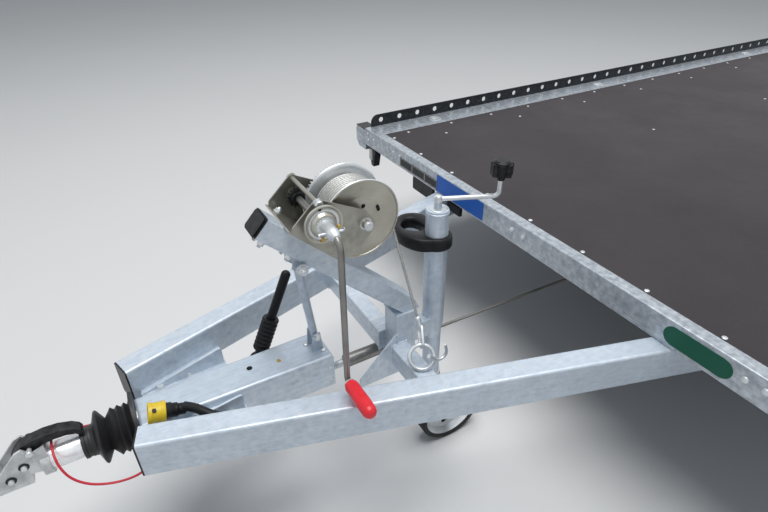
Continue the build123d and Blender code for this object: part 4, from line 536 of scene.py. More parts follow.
def make_sky(context, strength):
    """Even light all round, and a pale background where it is seen straight, mirrored or through glass."""
    world = bpy.data.worlds.new("soft_sky")
    context.scene.world = world
    world.use_nodes = True
    tree = world.node_tree
    light = tree.nodes["Background"]
    light.inputs["Color"].default_value = SKY_COLOUR
    light.inputs["Strength"].default_value = strength
    seen = tree.nodes.new("ShaderNodeBackground")
    seen.inputs["Color"].default_value = BACKGROUND_COLOUR
    seen.inputs["Strength"].default_value = 1.0
    path = tree.nodes.new("ShaderNodeLightPath")
    seen_by = path.outputs["Is Camera Ray"]
    for ray in ("Is Glossy Ray", "Is Transmission Ray"):
        larger = tree.nodes.new("ShaderNodeMath")
        larger.operation = "MAXIMUM"
        tree.links.new(seen_by, larger.inputs[0])
        tree.links.new(path.outputs[ray], larger.inputs[1])
        seen_by = larger.outputs[0]
    choose = tree.nodes.new("ShaderNodeMixShader")
    tree.links.new(seen_by, choose.inputs["Fac"])
    tree.links.new(light.outputs[0], choose.inputs[1])
    tree.links.new(seen.outputs[0], choose.inputs[2])
    tree.links.new(choose.outputs[0], tree.nodes["World Output"].inputs["Surface"])


def make_key(context, power):
    lamp = bpy.data.objects.new("key", bpy.data.lights.new("key", "AREA"))
    context.collection.objects.link(lamp)
    lamp.data.shape = "DISK"
    lamp.data.size = KEY_DIAMETER
    lamp.data.energy = power
    lamp.location = KEY_PLACE
    lamp.rotation_mode = "QUATERNION"
    lamp.rotation_quaternion = (Vector(KEY_TARGET) - lamp.location).to_track_quat("-Z", "Y")


class TRAILER_OT_stage(bpy.types.Operator):
    """Makes the floor, the lights and the camera"""
    bl_idname = "trailer.stage"
    bl_label = "Stage"

    def execute(self, context):
        settings = context.scene.trailer_stage
        context.scene.view_settings.view_transform = "Standard"
        make_camera(context, settings.lens)
        make_floor(tuple(settings.floor_colour))
        make_sky(context, settings.sky_strength)
        make_key(context, settings.key_power)
        return {"FINISHED"}


# Shape building

WASHER_R_SHARE = 0.72
WASHER_THICK = 1.6
BOLT_HEAD_SHARE = 0.55
THREAD_PITCH = 1.5
STRAND_HOLLOW = 0.80


def mesh_piece(name, verts, faces):
    """A new mesh object from plain vertices and faces."""
    mesh = bpy.data.meshes.new(name)
    mesh.from_pydata([tuple(v) for v in verts], [], faces)
    mesh.validate()
    made = bpy.data.objects.new(name, mesh)
    bpy.context.collection.objects.link(made)
    return made


def square_to(axis, lean=None):
    """An axis and two directions square to it."""
    axis = Vector(axis).normalized()
    guide = Vector(lean) if lean else Vector(UP if abs(axis.z) < 0.9 else AHEAD)
    side = axis.cross(guide).normalized()
    return axis, side, side.cross(axis)


def circle(centre, side, up, radius, steps, closed=False):
    """Points round a centre, the first one repeated at the end of a closed circle."""
    turns = [2 * math.pi * k / steps for k in range(steps + closed)]
    return [centre + (side * math.cos(turn) + up * math.sin(turn)) * radius for turn in turns]


def swept(points, headings, side):
    """For each point of a path: the point and two square directions that don't twist about the path."""
    for place, heading in zip(points, headings):
        side = (side - heading * side.dot(heading)).normalized()
        yield place, side, heading.cross(side)


class Moulding:
    """Collects shapes, in millimetres from the bed's front top edge, into one piece."""

    def __init__(self):
        self.verts = []
        self.faces = []

    def point(self, place):
        self.verts.append(Vector(place))
        return len(self.verts) - 1

    def ring(self, places):
        return [self.point(place) for place in places]

    def skin(self, rings):
        """Faces between neighbouring rings of points; a ring of one point closes an end."""
        for low, high in zip(rings, rings[1:]):
            for k in range(max(len(low), len(high))):
                corners = (low[k % len(low)], low[(k + 1) % len(low)],
                           high[(k + 1) % len(high)], high[k % len(high)])
                face = tuple(dict.fromkeys(corners))
                if len(face) > 2:
                    self.faces.append(face)

    def lathe(self, place, axis, profile, steps=24):
        """Turned shape: profile pairs are radius and distance along the axis."""
        axis, side, up = square_to(axis)
        rings = []
        for radius, along in profile:
            centre = Vector(place) + axis * along
            rings.append(self.ring(circle(centre, side, up, radius, steps) if radius > 0 else [centre]))
        self.skin(rings)

    def dome(self, place, axis, radius, rise, steps=16):
        """Round head with a short upright edge."""
        arcs = [(radius * math.cos(a), rise * (0.3 + 0.7 * math.sin(a))) for a in (0.0, 0.35, 0.75, 1.15)]
        self.lathe(place, axis, [(radius, 0.0)] + arcs + [(0.0, rise)], steps)

    def recess(self, place, axis, radius, steps=20, rim=0.6):
        """Shallow disc that stands for a hole, to be given a dark finish of painted shade."""
        self.lathe(place, axis, [(0, 0.5), (radius, 0.5), (radius + rim, 0), (0, 0)], steps)

    def slab(self, place, axis, outline, height, chamfer=0.0, lean=None):
        """Flat shape raised along an axis, its outline in the two square directions."""
        axis, side, up = square_to(axis, lean)
        place = Vector(place)
        middle = (sum(u for u, _ in outline) / len(outline), sum(v for _, v in outline) / len(outline))
        reach = max(math.hypot(u - middle[0], v - middle[1]) for u, v in outline)
        rings = []
        for share, rise in ((1.0, 0.0), (1.0, height - chamfer), (1.0 - chamfer / reach, height)):
            rings.append(self.ring(place + axis * rise + side * (middle[0] + (u - middle[0]) * share)
                                   + up * (middle[1] + (v - middle[1]) * share) for u, v in outline))
        self.faces.append(tuple(reversed(rings[0])))
        self.skin(rings)
        self.faces.append(tuple(rings[-1]))

    def hexagon(self, place, axis, across, height):
        corner = across / math.sqrt(3)
        outline = [(corner * math.cos(math.pi * k / 3), corner * math.sin(math.pi * k / 3)) for k in range(6)]
        self.slab(place, axis, outline, height, min(1.2, height * 0.25))

    def bolt(self, place, axis, across, thread=0.0):
        """Washer, hexagon and, if asked, the thread that stands out of a nut."""
        axis = Vector(axis).normalized()
        place = Vector(place)
        washer_r = across * WASHER_R_SHARE
        self.lathe(place, axis, [(0, 0), (washer_r, 0), (washer_r, WASHER_THICK), (0, WASHER_THICK)], 20)
        self.hexagon(place + axis * WASHER_THICK, axis, across, across * BOLT_HEAD_SHARE)
        if thread:
            core = across * 0.30
            turns = [(core, 0.0)]
            for ridge in range(int(thread / THREAD_PITCH)):
                start = ridge * THREAD_PITCH
                turns += [(core + 0.5, start + 0.5), (core, start + 1.2)]
            turns += [(core - 0.8, thread), (0, thread)]
            self.lathe(place + axis * (WASHER_THICK + across * 0.5), axis, turns, 14)

    def tube(self, points, radii, steps=12):
        """Round bar through points; radii is one number or one for each point."""
        points = [Vector(p) for p in points]
        sizes = radii if isinstance(radii, (list, tuple)) else [radii] * len(points)
        runs = [(b - a).normalized() for a, b in zip(points, points[1:])]
        headings = [runs[0]] + [(a + b).normalized() for a, b in zip(runs, runs[1:])] + [runs[-1]]
        rings = [[self.point(points[0])]]
        for (place, side, up), size in zip(swept(points, headings, square_to(runs[0])[1]), sizes):
            rings.append(self.ring(circle(place, side, up, size, steps)))
        rings.append([self.point(points[-1])])
        self.skin(rings)

    def rope(self, points, radius, lay):
        """Wire rope through close points: six strands that turn once in each lay length."""
        points = [Vector(p) for p in points]
        headings = [(b - a).normalized() for a, b in zip(points, points[1:])]
        headings.append(headings[-1])
        rings = [[self.point(points[0])]]
        gone = 0.0
        last = points[0]
        for place, side, up in swept(points, headings, square_to(headings[0])[1]):
            gone += (place - last).length
            last = place
            twist = 2 * math.pi * gone / lay
            ring = []
            for k in range(12):
                turn = twist + math.pi * k / 6
                reach = radius if k % 2 else radius * STRAND_HOLLOW
                ring.append(place + (side * math.cos(turn) + up * math.sin(turn)) * reach)
            rings.append(self.ring(ring))
        rings.append([self.point(points[-1])])
        self.skin(rings)

    def box(self, low, high, chamfer=1.0):
        """Straight block with chamfered top edges."""
        low, high = Vector(low), Vector(high)
        half = (high - low) / 2
        outline = [(-half.y, -half.x), (-half.y, half.x), (half.y, half.x), (half.y, -half.x)]
        base = ((low.x + high.x) / 2, (low.y + high.y) / 2, low.z)
        self.slab(base, UP, outline, half.z * 2, chamfer)

    def piece(self, name, finish_name, body="root", slot=None, sharp=32.0):
        """Turns what was collected into a piece that rides on a body."""
        made = mesh_piece(name, [at(*v) for v in self.verts], self.faces)
        shape = bmesh.new()
        shape.from_mesh(made.data)
        bmesh.ops.recalc_face_normals(shape, faces=shape.faces)
        shape.to_mesh(made.data)
        shape.free()
        made.data.shade_smooth()
        made.data.set_sharp_from_angle(angle=math.radians(sharp))
        made.data.materials.append(finish_of(finish_name))
        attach(made, body)
        return made


def rounded(width, height, radius, steps=5):
    """Outline of a rectangle with round corners."""
    outline = []
    for sx, sy, start in ((1, 1, 0.0), (-1, 1, 0.5), (-1, -1, 1.0), (1, -1, 1.5)):
        for k in range(steps + 1):
            turn = math.pi * (start + k / steps / 2)
            outline.append((sx * (width / 2 - radius) + radius * math.cos(turn),
                            sy * (height / 2 - radius) + radius * math.sin(turn)))
    return outline


def smooth_curve(name, controls, fineness):
    """Curve of one smooth open spline with the given control points."""
    curve = bpy.data.curves.new(name, "CURVE")
    curve.dimensions = "3D"
    spline = curve.splines.new("NURBS")
    spline.points.add(len(controls) - 1)
    for control, place in zip(spline.points, controls):
        control.co = (*place, 1)
    spline.order_u = 3
    spline.use_endpoint_u = True
    spline.resolution_u = fineness
    return curve


def round_route(controls, every, fineness=12):
    """Points, at least a distance apart, along a smooth curve with the given control points."""
    curve = smooth_curve("route", controls, fineness)
    holder = bpy.data.objects.new("route", curve)
    mesh = bpy.data.meshes.new_from_object(holder)
    route = [v.co.copy() for v in mesh.vertices]
    bpy.data.objects.remove(holder)
    bpy.data.curves.remove(curve)
    bpy.data.meshes.remove(mesh)
    spaced = [route[0]]
    for place in route[1:-1]:
        if (place - spaced[-1]).length >= every:
            spaced.append(place)
    spaced.append(route[-1])
    return spaced


# Free cords: thickness in metres, and points in millimetres that are those of the part's source
ROPE_ROUTE = ((576.064, 98.0, 299.414), (569.91, 107.62, 259.0), (536.16, 160.38, 37.4), (530.0, 170.0, -3.0))
ROPE_BORE = 0.007
ROPE_LAY = 46.0
CABLE_ROUTE = (
    (1180, 51.2313, -222), (1187, 72, -222), (1225, 95, -224), (1262, 100, -218), (1298, 99, -206),
    (1330, 92, -191), (1356, 78, -170), (1369, 60, -146), (1373, 42, -127), (1374, 20, -117.5),
    (1374, -4, -117.5), (1372, -28, -126), (1366, -46, -143), (1352, -60, -160), (1330, -70, -176),
    (1296, -80, -192), (1258, -84, -206), (1222, -82, -216), (1187, -72, -222), (1180, -51.2313, -222))
CABLE_BORE = 0.0055

# What hangs on the rope: ferrule, snap link, ring, and the open hook welded to the ring
HOOK_EYE = Vector((530.0, 170.0, -3.0))
FERRULE_END = Vector((525.6, 176.87, -31.87))
FERRULE_R = 7.0
# Rise of the ferrule's round end, and radius there
FERRULE_CROWN = ((0.0, 7.0), (1.2, 6.9), (2.4, 6.3), (3.6, 5.2), (4.8, 3.9))
RING_TOP = Vector((539.77, 206.35, -58.95))
RING_CENTRE = Vector((548.0, 221.0, -85.0))
RING_FACES = (0.41, 0.73, 0.54)
RING_R = 31.0
RING_BAR_R = 5.2
HOOK_TIP_R = 3.4
SNAP_HALF = 10.5
SNAP_STRAIGHT = 34.0
SNAP_BAR_R = 4.0
SNAP_SLEEVE = ((4.1, -9), (5.4, -8.4), (5.4, 8.4), (4.1, 9), (4.1, -9))
OPEN_HOOK = ((540, 240, -70), (528, 240, -82), (517, 240, -93), (503, 240, -98), (488, 240, -90),
             (486, 240, -72), (493, 240, -54))


class TRAILER_OT_winch_hook(bpy.types.Operator):
    """Makes the ferrule, snap link, ring and open hook on the winch rope"""
    bl_idname = "trailer.winch_hook"
    bl_label = "Winch hook"

    def execute(self, context):
        hook = Moulding()
        hook.tube([HOOK_EYE, FERRULE_END], FERRULE_R, 16)
        upward = (HOOK_EYE - FERRULE_END).normalized()
        hook.tube([HOOK_EYE + upward * rise for rise, _ in FERRULE_CROWN], [r for _, r in FERRULE_CROWN], 16)

        run, side, _ = square_to(RING_TOP - FERRULE_END, AHEAD)
        middle = (RING_TOP + FERRULE_END) / 2
        link = []
        for k in range(41):
            turn = 2 * math.pi * k / 40
            straight = SNAP_STRAIGHT / 2 * (1 if math.cos(turn) > 0 else -1)
            link.append(middle + run * (straight + SNAP_HALF * math.cos(turn))
                        + side * SNAP_HALF * math.sin(turn))
        hook.tube(link, SNAP_BAR_R, 12)
        hook.lathe(middle + run * -4 + side * SNAP_HALF, run, SNAP_SLEEVE, 16)

        _, across, up = square_to(RING_FACES)
        hook.tube(circle(RING_CENTRE, across, up, RING_R, 48, closed=True), RING_BAR_R, 14)
        shank = round_route(OPEN_HOOK, 2.0)
        thinning = (RING_BAR_R - HOOK_TIP_R) / (len(shank) - 1)
        hook.tube(shank, [RING_BAR_R - thinning * k for k in range(len(shank))], 14)
        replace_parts(hook.piece("snap_hook_and_ring", "bright_zinc", slot="zinc", sharp=50.0), "winch_hook")
        return {"FINISHED"}


class TRAILER_OT_cords(bpy.types.Operator):
    """Makes the winch rope and the breakaway cable"""
    bl_idname = "trailer.cords"
    bl_label = "Cords"

    def execute(self, context):
        line = round_route(ROPE_ROUTE, 2.0, 80)
        strands = Moulding()
        strands.rope(line, ROPE_BORE * 500, ROPE_LAY)
        rope = strands.piece("winch_rope_line", "wire_rope", slot="wire_rope", sharp=80.0)
        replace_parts(rope, "winch_rope")

        curve = smooth_curve("breakaway_cable_line", [at(*p) for p in CABLE_ROUTE], 10)
        curve.bevel_depth = CABLE_BORE / 2
        curve.bevel_resolution = 3
        curve.use_fill_caps = True
        curve.materials.append(finish_of("red_sleeve"))
        cable = bpy.data.objects.new("breakaway_cable_line", curve)
        context.collection.objects.link(cable)
        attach(cable, "root")
        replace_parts(cable, "breakaway_cable")
        return {"FINISHED"}


# Winch arm in side view: ahead and above, in millimetres
ARM_TOP_FRONT = (852.0, 341.0)
ARM_TOP_REAR = (505.0, 12.0)
ARM_RUN = math.hypot(ARM_TOP_FRONT[0] - ARM_TOP_REAR[0], ARM_TOP_FRONT[1] - ARM_TOP_REAR[1])
ARM_ALONG = ((ARM_TOP_FRONT[0] - ARM_TOP_REAR[0]) / ARM_RUN, (ARM_TOP_FRONT[1] - ARM_TOP_REAR[1]) / ARM_RUN)
ARM_UP = (-ARM_ALONG[1], 0, ARM_ALONG[0])
ARM_DOWN = (ARM_ALONG[1], 0, -ARM_ALONG[0])
ARM_DEPTH = 50.0


def arm_point(along, left, above):
    """Point on the winch arm, from the front end of its top face."""
    return (ARM_TOP_FRONT[0] + ARM_ALONG[0] * along + ARM_UP[0] * above, left,
            ARM_TOP_FRONT[1] + ARM_ALONG[1] * along + ARM_UP[2] * above)


# Winch, in millimetres: how far left its faces lie, and its axes ahead and above
DRUM_X, DRUM_Z = 651.0, 288.0
CRANK_X, CRANK_Z = 756.0, 326.0
CRANK_ARM = 368.0
FAR_PLATE_FACE = -4.0
NEAR_PLATE_FACE = 139.0
BRAKE_FACE = 160.0
FLANGE_FACE = 114.05
CROSS_PIN_Y = 198.0
WINDING_PITCH = 7.15
PLATE_TIE_Z = 364.0
RIM_BEAD_R = 91.4
RIM_BEAD_Y = 119.6
# Places along the arm and left of the bolts that hold the winch to it
WINCH_FEET = ((-62, 16), (-62, 122), (-128, 16), (-128, 122))
AXLE_END = ((0, 0), (10.9, 0), (11.4, 1), (10.6, 2), (11.4, 3), (10.6, 4), (9, 5.5), (0, 5.5))
# Bright lip round the far flange
FAR_LIP = ((85.5, 29.6), (88.8, 29.6), (92.5, 28.6), (95.6, 26.6), (96.6, 25.0), (95.8, 23.9), (92.0, 24.6),
           (88.7, 26.0), (85.5, 29.6))
BRAKE_COLLAR = ((29, 0), (33, 0), (33.6, 1.2), (29.4, 1.2), (29, 0))
CRANK_NOSE = ((0, 0), (14.1, 0), (14.1, 4), (11.5, 11), (8.6, 16), (7.1, 20), (0, 20))
SHAFT_BUSH = ((8.1, 0), (15.5, 0), (15.5, 6), (13.8, 7.6), (8.1, 7.6), (8.1, 0))
GRIP_FERRULE = ((7.1, 9), (9.5, 9.5), (13, 10.6), (13.2, 13.6), (7.2, 13.8), (7.1, 9))
WINDING_CORE = ((22.3, 0), (66, 0), (66, 74), (22.3, 74))
# Layers of rope: radius, how far left it starts and ends, and its start angle
ROPE_LAYERS = ((68.6, 40.6, 106.6, 0.0), (75.8, 44.0, 98.0, 171.339))
POINTS_PER_TURN = 150


def wound_layer(radius, first, last, start):
    """Centre line of one layer of rope on the drum."""
    turns = (last - first) / WINDING_PITCH
    count = int(turns * POINTS_PER_TURN)
    route = []
    for k in range(count + 1):
        share = k / count
        turn = math.radians(start) - 2 * math.pi * turns * (1 - share)
        route.append((DRUM_X + radius * math.cos(turn), first + (last - first) * share,
                      DRUM_Z + radius * math.sin(turn)))
    return route


class TRAILER_OT_winch_drum(bpy.types.Operator):
    """Makes the winch's bolts, the drum's nut, holes and rims, and the wound rope"""
    bl_idname = "trailer.winch_drum"
    bl_label = "Winch drum"

    def execute(self, context):
        bolts = Moulding()
        bolts.bolt((CRANK_X, NEAR_PLATE_FACE, PLATE_TIE_Z), LEFT, 15)
        bolts.bolt((CRANK_X, FAR_PLATE_FACE, PLATE_TIE_Z), RIGHT, 15)
        for along, left in WINCH_FEET:
            bolts.bolt(arm_point(along, left, 4), ARM_UP, 13, 4)
        bolts.piece("winch_bolts", "bright_zinc", slot="zinc")

        body = "winch_drum_body"
        nut = Moulding()
        nut.bolt((DRUM_X, NEAR_PLATE_FACE + 0.6, DRUM_Z), LEFT, 19.5, 7.0)
        nut.lathe((DRUM_X, 153, DRUM_Z), LEFT, AXLE_END, 20)
        nut.piece("drum_axle_nut", "bright_zinc", body, "zinc")
        # Dark discs of painted shade stand for the holes in the drum's flange
        holes = Moulding()
        holes.lathe((642, FLANGE_FACE, 316), LEFT, [(0, 0.35), (4.6, 0.35), (5.2, 0), (0, 0)], 20)
        holes.slab((606, FLANGE_FACE + 0.1, 302), LEFT, rounded(8, 17, 3.9), 0.4, 0.1, lean=(0.3, 0, 1))
        holes.piece("drum_flange_holes", "dark_recess", body, "zinc")
        rims = Moulding()
        rims.tube(circle(Vector((DRUM_X, RIM_BEAD_Y, DRUM_Z)), Vector(AHEAD), Vector(UP), RIM_BEAD_R, 96,
                         closed=True), 2.4, 8)
        rims.lathe((DRUM_X, 0, DRUM_Z), LEFT, FAR_LIP, 96)
        rims.piece("drum_rolled_rims", "bright_zinc", body, "zinc")

        wound = Moulding()
        for layer in ROPE_LAYERS:
            wound.rope(wound_layer(*layer), ROPE_BORE * 500, ROPE_LAY)
        wound.lathe((DRUM_X, 36.5, DRUM_Z), LEFT, WINDING_CORE, 48)
        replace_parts(wound.piece("wound_rope", "wire_rope", body, "wire_rope", 80.0), "rope_winding")
        return {"FINISHED"}


class TRAILER_OT_winch_crank(bpy.types.Operator):
    """Makes the crank's cross pin, nose, bush, brake nuts and grip ferrule"""
    bl_idname = "trailer.winch_crank"
    bl_label = "Winch crank"

    def execute(self, context):
        body = "winch_crank_body"
        crank = Moulding()
        crank.tube([(728, CROSS_PIN_Y, 324), (784, CROSS_PIN_Y, 328)], 2.6, 12)
        for x, axis in ((730, ASTERN), (782, AHEAD)):
            crank.dome((x, CROSS_PIN_Y, CRANK_Z), axis, 4.4, 3)
        crank.lathe((CRANK_X, BRAKE_FACE, CRANK_Z), LEFT, BRAKE_COLLAR, 48)
        crank.lathe((CRANK_X, 203, CRANK_Z), LEFT, CRANK_NOSE, 28)
        crank.piece("crank_cross_pin", "bright_zinc", body, "zinc")
        brass = Moulding()
        for x, z in ((724, 313), (760, 292)):
            brass.hexagon((x, BRAKE_FACE, z), LEFT, 9, 4)
            brass.dome((x, BRAKE_FACE + 4, z), LEFT, 3, 1.6)
        brass.piece("brake_brass_nuts", "brass", body, "zinc")
        bush = Moulding()
        bush.lathe((CRANK_X, 23.4, CRANK_Z), LEFT, SHAFT_BUSH, 32)
        bush.piece("crank_shaft_bush", "black_plastic", body, "black_plastic")
        # A dark disc of painted shade stands for the hole in the brake disc
        vent = Moulding()
        vent.lathe((762, BRAKE_FACE + 1.0, 361), LEFT, [(0, 0.6), (3.2, 0.6), (3.6, 0), (0, 0)], 16)
        vent.piece("brake_disc_hole", "dark_recess", body, "zinc")
        ferrule = Moulding()
        ferrule.lathe((760, 236, CRANK_Z - CRANK_ARM), LEFT, GRIP_FERRULE, 28)
        ferrule.piece("grip_ferrule", "bright_zinc", body, "zinc")
        return {"FINISHED"}


# Drawbar, in millimetres
HOUSING_TOP = -130.0
STRUT_EYE_ALONG = -133.7
STRUT_FOOT_X, STRUT_FOOT_Z = 744.0, -85.0
WING_TOP = -155.0
WING_BOTTOM = -163.0
MEMBER_REAR, MEMBER_FRONT, MEMBER_TOP, MEMBER_BOTTOM = 527.0, 576.0, -117.0, -180.0
ROD_Z = -229.0
# Ahead and above of the two bolts through the coupling head
COUPLING_BOLTS = ((1434, -140), (1466, -165))
COUPLING_RING = ((6.0, 0), (10.5, 0), (10.5, 1.6), (8.6, 2.4), (6.0, 2.4), (6.0, 0))
# Along and up of the rib that stands on each wing of the housing
WING_RIB = ((0, 0), (0, 44), (3, 48), (8, 49), (212, 3), (212, 0))
SPRING_START, SPRING_LENGTH, SPRING_R = 668.0, 40.0, 9.5
SPRING_TURNS, SPRING_STEPS = 11, 24
SPRING_CAN_RING = ((19.1, -1), (20.3, 0), (20.3, 4), (19.1, 5), (19.1, -1))


def housing_half(x):
    """Half width of the overrun housing, which tapers forward."""
    return 58.0 + (50.0 - 58.0) * (x - 717.0) / 483.0


def beam_inner(x):
    """Inner face of a drawbar beam, from the centre line."""
    return 89.96 + (1197.3 - x) * 0.3082


class TRAILER_OT_drawbar_fittings(bpy.types.Operator):
    """Makes the bolts, ribs and small fittings of the arm, post, strut, housing and brake rod"""
    bl_idname = "trailer.drawbar_fittings"
    bl_label = "Drawbar fittings"

    def execute(self, context):
        bolts = Moulding()
        for along, left in ((-24, 66), (-24, 98), (-98, 66), (-98, 100)):
            bolts.bolt(arm_point(along, left, -ARM_DEPTH), ARM_DOWN, 13, 6)
        bolts.bolt(arm_point(STRUT_EYE_ALONG, 117.5, -ARM_DEPTH - 10.5), LEFT, 19, 5)
        bolts.bolt(arm_point(STRUT_EYE_ALONG, 46.5, -ARM_DEPTH - 10.5), RIGHT, 19)
        bolts.bolt((STRUT_FOOT_X, 18, STRUT_FOOT_Z), LEFT, 15, 4)
        bolts.bolt((STRUT_FOOT_X, -18, STRUT_FOOT_Z), RIGHT, 15)
        for x, y in ((734, -47), (734, -15), (764, -17), (732, 26)):
            bolts.dome((x, y, HOUSING_TOP), UP, 7.5, 4.5)
        for z in (-169, -212):
            for side in SIDES:
                bolts.dome((728, side * housing_half(728), z), to_side(side), 5.5, 3.0)
        for x in (1002, 1062, 1134):
            for side in SIDES:
                middle = housing_half(x) + (beam_inner(x) - housing_half(x)) / 2
                bolts.bolt((x, side * middle, WING_TOP), UP, 17)
        bolts.piece("drawbar_bolts", "bright_zinc", slot="zinc")

        metal = Moulding()
        metal.slab((527.5, 82, -29.0), UP, rounded(51.6, 52.6, 2), 3.0, 0.3)
        for side in SIDES:
            metal.slab((970, side * 97, WING_TOP), (0.067, side * 0.998, 0),
                       [(along * side, up) for along, up in WING_RIB], -6.0)
        metal.piece("post_cap_and_wing_ribs", "galvanised", slot="galvanised")
        # A dark disc of painted shade stands for the access hole in the housing
        hole = Moulding()
        hole.recess((924, -7, HOUSING_TOP + 0.1), UP, 7.0)
        hole.piece("housing_access_hole", "dark_recess", slot="galvanised")
        stain = Moulding()
        stain.slab((849, 5, HOUSING_TOP + 0.1), UP, rounded(13, 9, 4), 0.4, 0.1, lean=(1, 0.4, 0))
        stain.piece("housing_drain_plug", "yellow_brown", slot="galvanised")

        spring = Moulding()
        coil = []
        steps = SPRING_TURNS * SPRING_STEPS
        for k in range(steps + 1):
            turn = 2 * math.pi * k / SPRING_STEPS
            coil.append((SPRING_START + SPRING_LENGTH * k / steps, SPRING_R * math.cos(turn),
                         ROD_Z + SPRING_R * math.sin(turn)))
        spring.tube(coil, 1.6, 6)
        for x in (531, 656):
            spring.lathe((x, 0, ROD_Z), AHEAD, SPRING_CAN_RING, 32)
        spring.piece("brake_rod_spring", "bright_zinc", slot="zinc")
        return {"FINISHED"}


class TRAILER_OT_coupling_fittings(bpy.types.Operator):
    """Makes the washers, bolt ends and rivets of the coupling head"""
    bl_idname = "trailer.coupling_fittings"
    bl_label = "Coupling fittings"

    def execute(self, context):
        rings, pins = Moulding(), Moulding()
        for side in SIDES:
            pins.dome((1414, side * 28.5, -108), to_side(side), 7.5, 3.2)
            for x, z in COUPLING_BOLTS:
                rings.lathe((x, side * 25, z), to_side(side), COUPLING_RING, 28)
                pins.dome((x, side * 31.5, z), to_side(side), 5.6, 2.0)
        rings.piece("coupling_bolt_rings", "black_steel", slot="black_steel")
        pins.piece("coupling_rivets", "bright_zinc", slot="cast_zinc")
        return {"FINISHED"}


# Parking holder of the plug, and the loom from the grommet in the near drawbar beam to the parked plug
HOLDER_MIDDLE = Vector((1157, 49, -105))
HOLDER_AXIS = Vector((1.0, -0.10, 0.22)).normalized()
HOLDER_CUP = ((15, 0), (24.0, 0), (24.6, 1.0), (24.6, 9), (23.4, 10), (23.4, 28), (24.6, 29), (24.6, 37),
              (24.0, 38), (19.5, 38), (19.5, 4), (15, 4), (15, 0))
PLUG_BODY = ((0, 0), (9, 0), (9, 3), (19.0, 3), (19.0, 48), (16.5, 52), (16.5, 62), (13.5, 66), (13.5, 78),
             (11, 82), (0, 82))
LOOM_ROUTE = ((868, 190, -148), (888, 178, -145), (918, 160, -140), (960, 142, -135), (1004, 130, -130),
              (1038, 114, -123), (1060, 94, -115), (1076, 72, -112), (1098, 54, -112))
LOOM_BORE = 0.018
LOOM_RIDGE = 0.5
LOOM_BOOT_R = 11.0
GROMMET = ((8, 0), (17, 0), (17, 3), (13.5, 6.5), (9.5, 8), (8, 8), (8, 0))
GROMMET_X, GROMMET_Z = 874.0, -147.0
BEAM_ANGLE = math.radians(17.13)


class TRAILER_OT_plug_holder(bpy.types.Operator):
    """Makes the yellow parking holder, its plug and the wiring loom behind it"""
    bl_idname = "trailer.plug_holder"
    bl_label = "Plug holder"

    def execute(self, context):
        holder = Moulding()
        holder.lathe(HOLDER_MIDDLE - HOLDER_AXIS * 19, HOLDER_AXIS, HOLDER_CUP, 40)
        holder.box((1146, 38, -130), (1168, 60, -124))
        holder.piece("plug_parking_holder", "yellow_plastic", slot="black_plastic")
        plug = Moulding()
        plug.lathe(HOLDER_MIDDLE + HOLDER_AXIS * 18, -HOLDER_AXIS, PLUG_BODY, 32)
        key = HOLDER_MIDDLE + HOLDER_AXIS * 3 + Vector((0, 13.0, 19.4))
        plug.slab(key, (0, 0.55, 0.83), rounded(9, 9, 3.5), 3.2, 0.5)
        plug.tube(round_route(LOOM_ROUTE[-5:], 5.0), LOOM_BOOT_R, 16)
        plug.piece("parked_plug", "black_plastic", slot="black_plastic")
        line = round_route(LOOM_ROUTE, 2.5)
        ridged = Moulding()
        ridged.tube(line, [LOOM_BORE * 500 - LOOM_RIDGE * (k % 2) for k in range(len(line))], 16)
        loom = ridged.piece("plug_loom", "black_plastic", slot="black_plastic")
        grommet = Moulding()
        inward = (-math.sin(BEAM_ANGLE), -math.cos(BEAM_ANGLE), 0)
        grommet.lathe((GROMMET_X, beam_inner(GROMMET_X) - 0.2, GROMMET_Z), inward, GROMMET, 28)
        grommet.piece("loom_grommet", "bellows_rubber", slot="black_plastic")
        return {"FINISHED"}


# Bed, in millimetres
BED_LENGTH = 4300.0
REAR = -BED_LENGTH
BED_HALF_WIDTH = 1100.0
END_SCREWS_Y = (-921, -707, -491, -276, -58, 164, 386, 601, 815)
END_SCREWS_IN = 50
# Rows of floor screws on both sides: half distance, first one, pitch, count, head radius, rise, steps
SCREW_ROWS = ((950, -141, 236.4, 18, 6.5, 2.2, 14), (854, -281, 432, 9, 6.0, 1.8, 12),
              (404, -1099, 864, 4, 6.0, 1.8, 12))
# Left and above of the small rivets on the front beam
FRONT_RIVETS = ((-1077, -19), (1077, -19), (-1072, -48), (1072, -48), (-1023, -33), (1023, -33),
                (-849, -30), (-794, -28))
LASHING_X = (-345, -1450, -2850, -3955)
LASHING_Y = 1040
LASHING_DISH = ((30, 0), (30, 1.8), (27.5, 2.6), (24, 1.2), (14, 0.8), (0, 0.8))
HOOP_R = 17.0
HOOP_Z = 4.4
# Blank plates on the front beam: name, finish, left, above, outline, thickness, chamfer
FRONT_PLATES = (
    ("blank_black_label", "label_black", -652, -51, rounded(276, 38, 3), 0.8, 0.2),
    ("blank_blue_panel", "label_blue", -375, -39, rounded(284, 68, 3), 0.8, 0.2),
    ("blank_oval_sign", "sign_green", 576, -40, rounded(178, 54, 26.8, 12), 1.2, 0.4))
# Fine frames on the black label: right and left edge, then bottom and top
LABEL_FRAMES = ((-786, -697), (-693, -604), (-600, -518))
LABEL_FRAME_Z = (-67, -35)
LABEL_LINE = 0.6


